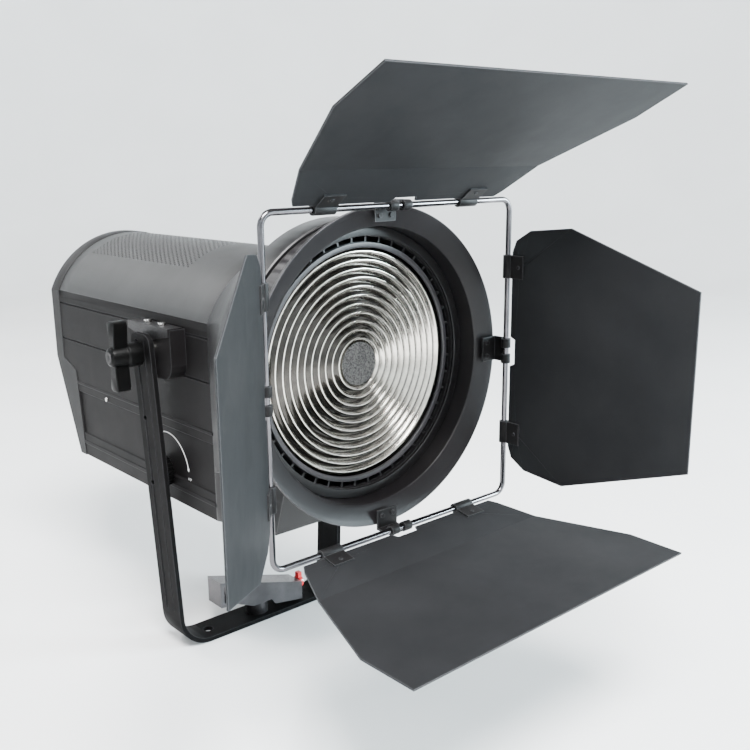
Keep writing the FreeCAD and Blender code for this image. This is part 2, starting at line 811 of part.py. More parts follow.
def make_rear():
    """The back frame, whose seam follows the side panels, and its two control plates."""
    half = "half_width + bezel_proud"
    radius = "arch_radius + bezel_proud"
    low = "-case_bottom - bezel_proud"
    inner_low = f"{low} + bezel_wall"
    bezel = new_body("rear_bezel")
    inner_half = f"{half} - bezel_wall"
    inner_radius = f"({radius} - bezel_wall)"
    prism(bezel, "XZ", [arched(half, radius, low), arched(inner_half, inner_radius, inner_low)],
          "seam_foot_back - 2", "rear_face")
    seam = "rear_seam + fit_gap"
    over = "arch_radius + 14"
    under = "-case_bottom - 9"
    wide = "half_width + 12"
    pocket(bezel, "YZ", [[
        ("seam_foot_back - 5", over), ("seam_foot_back - 5", under),
        ("seam_foot_back + fit_gap", under), ("seam_step_back + fit_gap", "-seam_step"),
        (seam, "-seam_knee"), (seam, over),
    ]], f"-({wide})", wide)
    rise = "(rear_face - rear_foot)/(case_bottom - 1 - seam_knee)"
    pocket(bezel, "YZ", [[
        ("rear_face", "-seam_knee"), (f"rear_face - {rise}*(case_bottom + 9 - seam_knee)", under),
        ("rear_face + 5", under), ("rear_face + 5", "-seam_knee"),
    ]], f"-({wide})", wide)

    edge = f"{inner_half} - fit_gap"
    plate = arched(edge, f"({inner_radius} - fit_gap)", "-panel_bottom")
    display = rectangle("display_left", "display_right", "display_low", "display_high")
    buttons = [(button_place(step), "-button_down", "button_radius + running_gap") for step in range(3)]
    dimmer = ("dimmer_out", "-dimmer_down", "dimmer_spindle + running_gap")
    screws = [(across, height, "small_screw") for across, height in PANEL_SCREWS]
    upper = new_body("rear_panel")
    prism(upper, "XZ", [plate, display, dimmer] + buttons + screws,
          "panel_face - panel_wall", "panel_face")

    glass = new_body("display_window")
    prism(glass, "XZ", [rectangle("display_left + 0.1", "display_right - 0.1", "display_low + 0.1",
                                  "display_high - 0.1")], "panel_face - panel_wall", "panel_face + 0.4")

    lower = new_slope_body("connector_panel")
    openings = [
        about("inlet_out", "-socket_row", "inlet_body_half + fit_gap", "inlet_body_tall + fit_gap"),
        about("switch_out", "-socket_row", "switch_body_half + fit_gap", "switch_body_tall + fit_gap"),
    ]
    openings += [(signal_place(step), "-socket_row", "signal_radius + 0.1") for step in range(2)]
    prism(lower, "XZ", [rectangle(f"-({edge})", edge, "-slope_length", "-1.3")] + openings,
          "-panel_wall", "0")


PANEL_SCREWS = [(f"{sign}panel_screw_out", height) for sign in ("", "-")
                for height in ("panel_screw_low", "panel_screw_high")]


def button_place(step):
    return f"first_button + {step}*button_pitch"


def signal_place(step):
    return f"-signal_out - {step}*signal_pitch"


def slope_place():
    """Top edge of the slanted connector plate."""
    return ("0", "panel_face", "axis_height - panel_bottom")


def new_slope_body(label):
    return new_body(label, slope_place(), X_AXIS, "-rear_slope")


def make_power_inlet():
    low = "-socket_row"
    flange = "2.4"
    body = new_slope_body("power_inlet")
    prism(body, "XZ", [about("inlet_out", low, "inlet_half", "inlet_tall")], "0", flange)
    prism(body, "XZ", [about("inlet_out", low, "inlet_body_half", "inlet_body_tall")],
          "-inlet_body_depth", "0")
    left = "inlet_out - inlet_mouth_half"
    right = "inlet_out + inlet_mouth_half"
    mouth = [
        (left, f"{low} - inlet_mouth_tall"), (right, f"{low} - inlet_mouth_tall"),
        (right, f"{low} + inlet_mouth_tall - 4"), (f"{right} - 4", f"{low} + inlet_mouth_tall"),
        (f"{left} + 4", f"{low} + inlet_mouth_tall"), (left, f"{low} + inlet_mouth_tall - 4"),
    ]
    pocket(body, "XZ", [mouth], "-inlet_mouth_depth", flange)
    pins = [about(f"inlet_out + {across}", f"{low} + {up}", "1", "2")
            for across, up in (("(-inlet_pin_out)", "(-2)"), ("0", "2"), ("inlet_pin_out", "(-2)"))]
    prism(body, "XZ", pins, "-inlet_mouth_depth - 1", "-1")


def make_power_switch():
    low = "-socket_row"
    flange = "2.2"
    housing = new_slope_body("switch_housing")
    prism(housing, "XZ", [about("switch_out", low, "switch_half", "switch_tall")], "0", flange)
    prism(housing, "XZ", [about("switch_out", low, "switch_body_half", "switch_body_tall")],
          "-switch_depth", "0")
    pocket(housing, "XZ", [about("switch_out", low, "switch_mouth_half", "switch_mouth_tall")],
           "-switch_mouth_depth", flange)
    # The rocker leans to one side at rest, about a pivot in the mouth of its housing
    lift = "rocker_pin"
    place = ("switch_out", f"panel_face - socket_row*sin(rear_slope) + {lift}*cos(rear_slope)",
             f"axis_height - panel_bottom - socket_row*cos(rear_slope) - {lift}*sin(rear_slope)")
    rocker = new_body("power_rocker", place, X_AXIS, "-rear_slope - rocker_tilt")
    prism(rocker, "YZ", [[
        ("-7", "-3"), ("0", "-rocker_tall"), ("3.4", "-rocker_tall"), ("2", "0"),
        ("3.4", "rocker_tall"), ("0", "rocker_tall"), ("-7", "3"),
    ]], "-rocker_half", "rocker_half")
    pin_end = "switch_mouth_half - fit_gap"
    prism(rocker, "YZ", [("0", "0", "rocker_pin")], f"-({pin_end})", pin_end)


def make_signal_sockets():
    sockets = []
    for step in range(2):
        middle = signal_place(step)
        plate = block((f"{middle} - signal_plate_half", "0", "-socket_row - signal_plate_tall"),
                      (f"{middle} + signal_plate_half", "signal_wall", "-socket_row + signal_plate_tall"))
        barrel = rod_along("Y", "-signal_depth", "1", middle, "-socket_row", "signal_radius")
        hollow = rod_along("Y", "-signal_hollow", "signal_wall + 1", middle, "-socket_row",
                           "signal_radius - signal_wall")
        pins = [rod_along("Y", "-signal_hollow - 1", "-3", f"{middle} + signal_pin_out*cos({turn})",
                          f"-socket_row + signal_pin_out*sin({turn})", "signal_pin")
                for turn in ("0", "90", "180", "225", "315")]
        shell = without(fused([plate, barrel]), hollow)
        sockets.append(fused([shell] + pins))
    node_of("signal_sockets", sockets, slope_place(), X_AXIS, "-rear_slope")


def make_controls():
    knob = new_body("dimmer_knob", ("dimmer_out", "0", "axis_height - dimmer_down"))
    tip = "board_back + 9.4"
    foot = "panel_face + 0.5"
    end = "panel_face + dimmer_depth"
    turned(knob, "Y", [
        (tip, "0"), (tip, "dimmer_spindle"), (foot, "dimmer_spindle"), (foot, "dimmer_radius"),
        (f"{end} - 1", "dimmer_radius - 0.8"), (end, "dimmer_radius - 1.8"), (end, "0"),
    ])
    notch = pocket(knob, "XZ", [("0", "dimmer_radius + 0.4", "1")], "panel_face + 1", end)
    polar(knob, notch, "Y", "20")
    for step, side in enumerate(("left", "middle", "right")):
        place = (button_place(step), "panel_face", "axis_height - button_down")
        flange = "button_radius + button_flange"
        ledge = "-panel_wall - 0.3"
        button = new_body(f"menu_button_{side}", place)
        turned(button, "Y", [
            ("-6", "0"), ("-6", flange), (ledge, flange), (ledge, "button_radius"),
            ("button_travel", "button_radius"), ("button_travel + 0.6", "button_radius - 0.6"),
            ("button_travel + 0.6", "0"),
        ])
    board = block(("display_left - 2", "board_front", "-40"), ("dimmer_out + 16", "board_back", "44"))
    encoder = block(("dimmer_out - 8", "board_back", "-dimmer_down - 8"),
                    ("dimmer_out + 8", "board_back + 9", "-dimmer_down + 8"))
    screen = block(("display_left + 2", "board_back", "display_low + 2"),
                   ("display_right - 2", "panel_face - 3.5", "display_high - 2"))
    switches = [block((f"{button_place(step)} - 3", "board_back", "-button_down - 3"),
                      (f"{button_place(step)} + 3", "panel_face - 7.4", "-button_down + 3"))
                for step in range(3)]
    node_of("control_board", [fused([board, encoder, screen] + switches)])


def screw(axis, seat, outward, across, up, head, shank, length):
    """A screw whose head stands outward of its seat along an axis."""
    head_end = f"({seat}) + {outward}*{head}*0.7"
    shank_end = f"({seat}) - {outward}*{length}"
    head_span = sorted([seat, head_end], key=value)
    shank_span = sorted([seat, shank_end], key=value)
    return fused([
        rod_along(axis, head_span[0], head_span[1], across, up, head),
        rod_along(axis, shank_span[0], shank_span[1], across, up, shank),
    ])


def make_case_screws():
    top = "block_top + stop_sheet"
    screws = [screw("Z", top, 1, f"{sign}block_screw_out", f"{end}block_screw_along", 3.6, "block_screw",
                    "block_screw_depth") for sign in ("", "-") for end in ("", "-")]
    screws += [screw("X", f"{sign}half_width", sign + "1", "ground_out", "-ground_down", 2.2,
                     "small_screw", 4) for sign in ("", "-")]
    screws += [screw("Y", "panel_face", 1, across, height, 2.6, "small_screw", 5)
               for across, height in PANEL_SCREWS]
    node_of("case_screws", screws)


def cut_supply_notch(bulkhead):
    """The power supply passes under the rear bulkhead, with a little room."""
    notch = rectangle("-supply_half - supply_room", "supply_half + supply_room", "-case_bottom",
                      "-supply_top + supply_room")
    pocket(bulkhead, "XZ", [notch], "rear_bulkhead_back - bulkhead_wall - 1", "rear_bulkhead_back + 1")


def make_power_supply():
    low = ("-supply_half", "supply_front", "-supply_bottom")
    high = ("supply_half", "supply_back", "-supply_top")
    node_of("power_supply", [block(low, high)])


# ---------------------------------------------------------------- optics

def make_front_casting():
    """Round collar, a flare that turns the circle into the case's outline, and a faceted chin."""
    corners = ("-50", "22", "158", "230")
    step = "-casting_step"

    def ring(radius):
        return [(f"{radius}*cos({turn})", f"{radius}*sin({turn})", radius) for turn in corners]

    def case_outline(half, radius, low):
        shoulder = arch_height(radius, half)
        return [(half, low), (half, shoulder), (f"-({half})", shoulder, radius), (f"-({half})", low)]

    def chin(half_foot, half_top, low, high):
        return [(f"-({half_foot})", low), (half_foot, low), (half_top, high), (f"-({half_top})", high)]

    body = new_body("front_casting")
    turned(body, "Y", [("-collar_front", "100"), ("-collar_front", "collar_radius - 1"),
                       ("-collar_front + 1", "collar_radius"), (step, "collar_radius"), (step, "100")])
    loft(body, "XZ", ring("collar_radius"), step,
         case_outline("half_width", "arch_radius + 0.5", "-100"), "front_edge")
    loft(body, "XZ", chin("chin_foot", "chin_top", "-case_bottom", "-100"), step,
         chin("half_width", "half_width", "-case_bottom", "-60"), "front_edge")
    wall = "casting_wall"
    loft(body, "XZ", ring("(collar_radius - 10)"), f"{step} - 0.1",
         case_outline(f"half_width - {wall}", f"arch_radius - {wall}", "-97"), "front_edge + 0.1",
         "SubtractiveLoft")
    low = f"-case_bottom + {wall}"
    loft(body, "XZ", chin(f"chin_foot - {wall}", f"chin_top - {wall}", low, "-98"), f"{step} + {wall}",
         chin(f"half_width - {wall}", f"half_width - {wall}", low, "-60"), "front_edge + 0.1",
         "SubtractiveLoft")
    seat = "holder_radius + running_gap"
    shelf = "-casting_step - 2"
    throat = "holder_radius - 9"
    turned(body, "Y", [("-collar_front - 1", "0"), ("-collar_front - 1", seat), (shelf, seat),
                       (shelf, throat), (f"{shelf} + 4", throat), (f"{shelf} + 4", "0")], "Groove")


def make_lens():
    holder = new_body("lens_holder")
    back = "-casting_step - 2"
    rim = "-holder_front"
    seat = "-lens_back + 0.2"
    stop = "lens_radius - 3.5"
    hole = "lens_radius + 0.3"
    step = "-lens_front - 0.7"
    turned(holder, "Y", [
        (rim, "holder_mouth"), (rim, "holder_radius"), (back, "holder_radius"),
        (back, "holder_radius - casting_wall"), (f"{seat} + 3", "holder_radius - casting_wall"),
        (f"{seat} + 3", stop), (seat, stop), (seat, hole), (step, hole), (step, "holder_mouth"),
    ])
    gap_inner = "(pi*vent_inner/vent_count - spoke/2)"
    gap_outer = "(pi*vent_outer/vent_count - spoke/2)"
    vent = pocket(holder, "XZ", [[
        (f"-{gap_inner}", "vent_inner"), (gap_inner, "vent_inner"), (gap_outer, "vent_outer"),
        (f"-{gap_outer}", "vent_outer"),
    ]], f"{rim} + 1", f"{seat} + 5")
    polar(holder, vent, "Y", "vent_count")

    rings = 11
    lens_path = [("-lens_back", "0"), ("-lens_back", "lens_radius")]
    for step in range(rings, 0, -1):
        outer = f"lens_radius*{step}/{rings}"
        inner = f"lens_radius*{step - 1}/{rings}"
        lens_path.append(("-lens_front + lens_step", outer))
        lens_path.append(("-lens_front", inner))
    lens = new_body("fresnel_lens")
    turned(lens, "Y", lens_path)

    retainer = new_body("lens_retainer")
    foot = "-lens_front - 0.8"
    turned(retainer, "Y", [
        (foot, "retainer_inner"), (foot, "retainer_outer"), (f"{foot} - 1.6", "retainer_outer"),
        (f"{foot} - 2.2", "retainer_outer - 0.6"), (f"{foot} - 2.2", "retainer_inner + 1"),
        (f"{foot} - 1.4", "retainer_inner"),
    ])
    keeper = new_body("ring_keeper")
    inner = "holder_mouth + fit_gap"
    turned(keeper, "Y", [
        (rim, inner), (rim, "keeper_outer"), (f"{rim} - 2.6", "keeper_outer"),
        (f"{rim} - 3.2", "keeper_outer - 0.6"), (f"{rim} - 3.2", inner),
    ])


# ---------------------------------------------------------------- focusing carriage

def make_carriage():
    back = "carriage_face + carriage_wall"
    guides = [(f"{sign}guide_out", "-guide_down") for sign in ("", "-")]
    arm_outer_edge = "-rack_outer - 4"
    arm_inner_edge = "-rack_inner + 4"
    low = "-guide_down - 12"
    high = "-guide_down + 12"
    plate = [
        (arm_outer_edge, "-rack_top"), (arm_inner_edge, "-rack_top"), (arm_inner_edge, low),
        ("ear_half", low), ("ear_half", high), ("plate_half", f"{high} + 8"), ("plate_half", "plate_half"),
        ("-plate_half", "plate_half"), ("-plate_half", f"{high} + 8"), ("-ear_half", high),
        ("-ear_half", low), (arm_outer_edge, low),
    ]
    holes = [guide + ("bush_radius",) for guide in guides]
    body = new_body("carriage_plate")
    prism(body, "XZ", [plate] + holes, "carriage_face", back)
    node_of("carriage_bushes", [
        tube_along("Y", "bush_front", "bush_back", across, up, "bush_radius", "guide_radius + running_gap")
        for across, up in guides
    ])
    node_of("guide_rods", [rod_along("Y", "rod_front", "rod_back", across, up, "guide_radius")
                           for across, up in guides])

    led = new_body("led_module")
    prism(led, "XZ", [about("0", "0", "led_half", "led_half")], "carriage_face - led_wall", "carriage_face")
    prism(led, "XZ", [("0", "0", "led_dome")], "carriage_face - led_wall - led_dome_wall",
          "carriage_face - led_wall")

    sink = new_body("heat_sink")
    root = f"{back} + sink_wall"
    prism(sink, "XZ", [about("0", "0", "sink_half", "sink_half")], back, root)
    fin = prism(sink, "XZ", [rectangle("-sink_half", "-sink_half + fin_wall", "-sink_half", "sink_half")],
                f"{root} - 1", "sink_back")
    row_of(sink, fin, "X", "2*sink_half - fin_wall", "fin_count")


def make_fan():
    back = "sink_back + fan_depth"
    frame = new_body("fan_frame")
    prism(frame, "XZ", [about("0", "0", "fan_half", "fan_half"), ("0", "0", "fan_bore")],
          "sink_back", back)
    arm = "fan_bore + 1"
    half = "fan_arm_half"
    prism(frame, "XZ", [[
        (f"-({arm})", f"-{half}"), (f"-{half}", f"-{half}"), (f"-{half}", f"-({arm})"),
        (half, f"-({arm})"), (half, f"-{half}"), (arm, f"-{half}"), (arm, half), (half, half),
        (half, arm), (f"-{half}", arm), (f"-{half}", half), (f"-({arm})", half),
    ]], f"{back} - 2.5", back)
    prism(frame, "XZ", [("0", "0", "fan_hub")], f"{back} - 5", back)
    prism(frame, "XZ", [("0", "0", "fan_pin")], "sink_back + 5", f"{back} - 4")

    rotor = new_body("fan_rotor")
    turned(rotor, "Y", [
        ("sink_back + 4", "fan_pin + running_gap"), ("sink_back + 4", "fan_hub - 1"),
        ("sink_back + 5", "fan_hub"), ("sink_back + 19", "fan_hub"),
        ("sink_back + 19", "fan_pin + running_gap"),
    ])
    blade = prism(rotor, "YZ", [[
        ("sink_back + 4.5", "-9"), ("sink_back + 6.5", "-9"), ("sink_back + 18.5", "9"),
        ("sink_back + 16.5", "9"),
    ]], "fan_hub - 1", "blade_tip")
    polar(rotor, blade, "Y", "blade_count")


def make_focus_drive():
    """Pinion on the knob's shaft under a rack on the carriage; a tooth gap faces the top tooth."""
    pitch = "(2*pi*pitch_radius/tooth_count)"
    line = "(-focus_down + pitch_radius)"
    root = f"{line} + dedendum"
    first = f"focus_back - (rack_teeth - 1)/2*{pitch}"
    last = f"focus_back + (rack_teeth - 1)/2*{pitch}"
    at_root = "(tooth_half + dedendum*tan(20))"
    at_tip = "(tooth_half - addendum*tan(20))"
    tip = f"{line} - addendum"
    rack = new_body("focus_rack")
    prism(rack, "YZ", [rectangle(f"{first} - rack_end", f"{last} + rack_end", root, "-rack_top")],
          "-rack_outer", "-rack_inner")
    tooth = prism(rack, "YZ", [[
        (f"{first} - {at_root}", root), (f"{first} - {at_tip}", tip), (f"{first} + {at_tip}", tip),
        (f"{first} + {at_root}", root),
    ]], "-rack_outer", "-rack_inner")
    row_of(rack, tooth, "Y", f"(rack_teeth - 1)*{pitch}", "rack_teeth")

    place = ("0", "focus_back", "axis_height - focus_down")
    pinion = new_body("focus_pinion", place)
    hub = "(pitch_radius - dedendum)"
    prism(pinion, "YZ", [("0", "0", hub)], "-rack_outer - 1", "-rack_inner + 1")
    foot = f"{hub} - 0.6"
    tip = "pitch_radius + addendum"
    tooth = prism(pinion, "YZ", [[
        ("-tooth_root", foot), ("tooth_root", foot), ("tooth_half", "pitch_radius"), ("tooth_tip", tip),
        ("-tooth_tip", tip), ("-tooth_half", "pitch_radius"),
    ]], "-rack_outer - 1", "-rack_inner + 1")
    polar(pinion, tooth, "X", "tooth_count")
    pocket(pinion, "YZ", [("0", "0", "guide_radius")], "-rack_outer - 2", "-rack_inner + 2")

    node_of("focus_shaft", [rod_along("X", "-focus_shaft_outer", "-focus_shaft_inner", "0", "0",
                                      "guide_radius")], place)
    knob = new_body("focus_knob", place)
    near = "-half_width - focus_knob_room"
    turned(knob, "X", [
        ("-focus_knob_far", "0"), ("-focus_knob_far", "focus_knob_radius - 1.6"),
        ("-focus_knob_far + 1.6", "focus_knob_radius"), (f"{near} - 1", "focus_knob_radius"),
        (near, "focus_knob_radius - 1"), (near, "guide_radius"), ("-focus_shaft_outer", "guide_radius"),
        ("-focus_shaft_outer", "0"),
    ])
    notch = pocket(knob, "YZ", [("0", "focus_knob_radius + 0.5", "1.3")], "-focus_knob_far", near)
    polar(knob, notch, "X", "knurl_count")


# ---------------------------------------------------------------- barn door

def make_door_ring():
    ring = new_body("door_ring")
    step = "-holder_front + fit_gap"
    bore = "holder_radius + 0.3"
    turned(ring, "Y", [
        ("-rim_front", "rim_radius"), ("-rim_inner_front", "rim_inner"),
        ("-rim_inner_front + 1.5", "hood_inner"), (step, "hood_inner"), (step, bore),
        ("-ring_back", bore), ("-ring_back", "skirt_radius"), ("-skirt_front", "skirt_radius"),
        ("-rim_front + 3.2", "rim_radius"),
    ])


def make_rod_frame():
    wide = "rod_half_width"
    tall = "rod_half_height"
    run_wide = f"({wide} - rod_corner)"
    run_tall = f"({tall} - rod_corner)"
    rods = []
    for sign in ("", "-"):
        rods.append(rod_along("X", f"-{run_wide}", run_wide, "-rod_plane", f"{sign}{tall}", "rod_radius"))
        rods.append(rod_along("Z", f"-{run_tall}", run_tall, f"{sign}{wide}", "-rod_plane", "rod_radius"))
    for across, up, start in ((run_wide, run_tall, 0), (f"-{run_wide}", run_tall, 90),
                              (f"-{run_wide}", f"-{run_tall}", 180), (run_wide, f"-{run_tall}", 270)):
        bend = doc.addObject("Part::Torus", "bend")
        bend.setExpression("Radius1", linked("rod_corner"))
        bend.setExpression("Radius2", linked("rod_radius"))
        bend.Angle3 = 90
        upright = Rotation(X_AXIS, 90).multiply(Rotation(Vector(0, 0, 1), start))
        bend.Placement = Placement(Vector(), upright)
        for letter, text in zip("xyz", (across, "-rod_plane", up)):
            bend.setExpression("Placement.Base." + letter, linked(text))
        rods.append(bend)
    joined = fused(rods)
    set_place(joined, HEAD)
    name_node(joined, "rod_frame")


SIDES = {"top": 0, "right": 1, "bottom": 2, "left": 3}


def beside_rod(side, angle=0.0):
    """Frame whose origin is on a side's rod, x along the rod and -y forward, turned outwards."""
    quarter = SIDES[side]
    offset = value("rod_half_width" if quarter % 2 else "rod_half_height")
    lifted = Placement(Vector(0, 0, value("axis_height")), Rotation(Y_AXIS, 90 * quarter))
    on_rod = Placement(Vector(0, -value("rod_plane"), offset), Rotation(X_AXIS, -angle))
    return lifted.multiply(on_rod)


def make_ring_tabs():
    """Four L-shaped tabs that hold the rod frame on the ring, each with two rivets."""
    tabs = []
    for side in SIDES:
        plate = block(("-tab_half", "tab_back - tab_sheet", "-tab_drop"),
                      ("tab_half", "tab_back", "curl_outer"))
        riser = block(("-tab_half", "0", "curl_outer - tab_sheet"), ("tab_half", "tab_back", "curl_outer"))
        curls = [tube_along("X", start, f"{start} + 8", "0", "0", "curl_outer", "curl_inner + 0.1")
                 for start in ("-tab_half", "tab_half - 8")]
        rivets = [rod_along("Y", "tab_back - 2.9", "tab_back + 3.2", f"{sign}tab_rivet_out",
                            "-tab_rivet_down", "tab_rivet") for sign in ("-", "")]
        tab = fused([plate, riser] + curls + rivets)
        tab.Placement = beside_rod(side)
        tabs.append(tab)
    group = doc.addObject("Part::Compound", "group")
    group.Links = tabs
    name_node(group, "ring_tabs")


# The leaves' flanks, as pairs of (distance from the rod, half width)
WIDE_FLANK = [("leaf_start", "105"), ("12", "109.5"), ("leaf_bend", "122.7"), ("124", "151"),
              ("172", "150"), ("176", "150")]
SIDE_FLANK = [("leaf_start", "88"), ("9", "98"), ("24", "107"), ("66", "111"),
              ("side_leaf_length + 1", "70")]


def leaf_waste(points, length):
    """The sheet outside one flank of a leaf; points are (distance from the rod, half width)."""
    far = "leaf_reach + 8"
    path = [(points[0][1], "0")]
    path += [(half, f"-({run})") for run, half in points]
    path += [(far, f"-({length}) - 1"), (far, "0")]
    return path


def make_leaf(side, angle_name):
    wide = side in ("top", "bottom")
    length = "leaf_length" if wide else "side_leaf_length"
    leaf = new_body(f"leaf_{side}", None)
    if wide:
        flank = WIDE_FLANK
        end = "-(leaf_bend + (leaf_length - leaf_bend)*cos(leaf_bend_angle))"
        drop = "(leaf_length - leaf_bend)*sin(leaf_bend_angle)"
        section = [
            ("-leaf_start", "0"), ("-leaf_start", "leaf_sheet"), ("-leaf_bend", "leaf_sheet"),
            (end, f"leaf_sheet - {drop}"), (end, f"-({drop})"), ("-leaf_bend", "0"),
        ]
    else:
        flank = SIDE_FLANK
        section = [("-leaf_start", "0"), ("-leaf_start", "leaf_sheet"), (f"-{length}", "leaf_sheet"),
                   (f"-{length}", "0")]
    prism(leaf, "YZ", [section], "-leaf_reach", "leaf_reach")
    waste = leaf_waste(flank, length)
    pocket(leaf, "XY", [waste, mirrored(waste)], "-60", "20")
    notch = [("-tab_half - 4", "-1"), ("-tab_half", "-leaf_start - 5"), ("tab_half", "-leaf_start - 5"),
             ("tab_half + 4", "-1")]
    pocket(leaf, "XY", [notch], "-5", "5")
    holes = [(f"{sign}clip_offset", "-rivet_back", "rivet_radius") for sign in ("", "-")]
    pocket(leaf, "XY", holes, "-5", "5")
    place = beside_rod(side, value(angle_name))
    leaf.Placement = place

    parts = []
    for sign in ("", "-"):
        middle = f"{sign}clip_offset"
        low = f"({middle}) - clip_half"
        high = f"({middle}) + clip_half"
        over = "leaf_sheet + running_gap"
        plate = block((low, "-clip_reach", over), (high, "-3", f"{over} + clip_sheet"))
        curl = tube_along("X", low, high, "0", "0", "curl_outer", "curl_inner")
        under = block((low, "-clip_reach", "-clip_sheet - running_gap"),
                      (high, "-curl_outer - 0.1", "-running_gap"))
        rivet = rod_along("Z", "-2.2", "leaf_sheet + 2.6", middle, "-rivet_back", "rivet_radius")
        head = rod_along("Z", f"{over} + clip_sheet", "leaf_sheet + 3.4", middle, "-rivet_back", "rivet_head")
        parts.append(fused([plate, curl, under, rivet, head]))
    clips = doc.addObject("Part::Compound", "clips")
    clips.Links = parts
    clips.Placement = place
    name_node(clips, f"leaf_{side}_clips")


# ---------------------------------------------------------------- build

def find_faults():
    faults = []
    for item in doc.Objects:
        if "Invalid" in item.State or "Error" in item.State:
            faults.append(f"{item.Label}: {item.State}")
    for node in nodes:
        if node.Shape.isNull() or not node.Shape.isValid():
            faults.append(f"{node.Label}: no valid shape")
    return faults


def main():
    make_yoke()
    make_spigot_receiver()
    make_receiver_screw()
    make_tilt_pivots()
    make_case()
    make_bulkhead("front_bulkhead", "front_bulkhead_back", "front_opening")
    rear = make_bulkhead("rear_bulkhead", "rear_bulkhead_back", "rear_opening")
    cut_supply_notch(rear)
    make_rear()
    make_power_inlet()
    make_power_switch()
    make_signal_sockets()
    make_controls()
    make_case_screws()
    make_power_supply()
    make_front_casting()
    make_lens()
    make_carriage()
    make_fan()
    make_focus_drive()
    make_door_ring()
    make_rod_frame()
    make_ring_tabs()
    for side in SIDES:
        make_leaf(side, f"{side}_leaf_angle")
    doc.recompute()
    faults = find_faults()
    if faults:
        raise RuntimeError("; ".join(faults))
    os.makedirs("parts", exist_ok=True)
    for node in nodes:
        node.Shape.exportStep(f"parts/{node.Label}.step")
        print(node.Label, len(node.Shape.Solids), round(node.Shape.Volume))


main()
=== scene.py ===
import json
import math

import bmesh
import bpy
from mathutils import Matrix, Vector


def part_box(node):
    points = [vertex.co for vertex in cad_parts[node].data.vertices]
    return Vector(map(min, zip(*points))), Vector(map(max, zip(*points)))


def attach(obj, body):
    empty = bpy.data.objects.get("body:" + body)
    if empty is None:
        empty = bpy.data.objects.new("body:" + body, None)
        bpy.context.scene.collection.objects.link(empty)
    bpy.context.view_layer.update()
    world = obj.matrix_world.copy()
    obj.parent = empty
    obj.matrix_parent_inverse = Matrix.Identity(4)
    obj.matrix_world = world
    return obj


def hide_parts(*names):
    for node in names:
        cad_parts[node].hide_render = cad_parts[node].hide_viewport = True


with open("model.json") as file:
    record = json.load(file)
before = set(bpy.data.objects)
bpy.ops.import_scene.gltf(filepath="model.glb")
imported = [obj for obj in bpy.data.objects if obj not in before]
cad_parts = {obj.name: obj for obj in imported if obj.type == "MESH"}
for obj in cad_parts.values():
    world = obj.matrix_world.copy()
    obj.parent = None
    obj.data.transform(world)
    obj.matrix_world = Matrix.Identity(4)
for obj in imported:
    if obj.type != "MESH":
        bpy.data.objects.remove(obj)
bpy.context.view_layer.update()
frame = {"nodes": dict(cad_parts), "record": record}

MM = 0.001
AXIS_HEIGHT = 0.297
PI = math.pi

nodes = frame["nodes"]
slots = {part["node"]: part["material_slot"] for part in frame["record"]["subparts"]}


def head(x, y, z):
    """A point of the head, in millimetres from the tilt axis, as metres in the shared frame."""
    return Vector((x * MM, y * MM, AXIS_HEIGHT + z * MM))


# ---------------------------------------------------------------- camera and light

CAMERA_PLACE = (-0.5009, -0.7580, 0.4652)
CAMERA_AZIMUTH = math.radians(-40.78)
CAMERA_ELEVATION = math.radians(13.66)
CAMERA_ROLL = math.radians(-0.68)
CAMERA_LENS = 44.85
CAMERA_SENSOR = 36
CAMERA_SHIFT = (0.0144, 0.0143)
CAMERA_NEAR = 0.01

WORLD_COLOUR = (1.0, 1.0, 1.0, 1)
WORLD_STRENGTH = 0.40
LAMP_TARGET = (0, -0.05, 0.28)
# name, place, size, watts, colour
LAMPS = (
    ("overhead", (-0.5, -1.2, 2.2), (1.2, 0.9), 225, (1, 1, 1)),
    ("back_key", (-0.9, 1.6, 2.0), (1.0, 0.8), 36, (1, 1, 1)),
    ("right_fill", (2.2, -2.0, 0.8), (1.0, 0.9), 255, (0.80, 0.97, 1.04)),
)

STAGE_FLAT = 2.6
STAGE_CURVE = 1.6
STAGE_CURVE_STEPS = 12
STAGE_HEIGHT = 3.4
STAGE_SIDES = 64
STAGE_GAP = 0.0004
STAGE_DARK = (0.92, 0.92, 0.92)
STAGE_LIGHT = (0.95, 0.95, 0.95)
STAGE_ROUGH = 0.9


def add_camera():
    """The viewpoint solved from the photograph: left of the light, a little above, close to it."""
    flat = math.cos(CAMERA_ELEVATION)
    back = Vector((math.sin(CAMERA_AZIMUTH) * flat, -math.cos(CAMERA_AZIMUTH) * flat,
                   math.sin(CAMERA_ELEVATION)))
    right = (-back).cross(Vector((0, 0, 1))).normalized()
    up = right.cross(-back)
    across = math.cos(CAMERA_ROLL) * right + math.sin(CAMERA_ROLL) * up
    upward = -math.sin(CAMERA_ROLL) * right + math.cos(CAMERA_ROLL) * up
    camera = bpy.data.objects.new("camera", bpy.data.cameras.new("camera"))
    bpy.context.collection.objects.link(camera)
    turn = Matrix((across, upward, back)).transposed().to_4x4()
    camera.matrix_world = Matrix.Translation(CAMERA_PLACE) @ turn
    camera.data.lens = CAMERA_LENS
    camera.data.sensor_width = CAMERA_SENSOR
    camera.data.shift_x, camera.data.shift_y = CAMERA_SHIFT
    camera.data.clip_start = CAMERA_NEAR
    bpy.context.scene.camera = camera


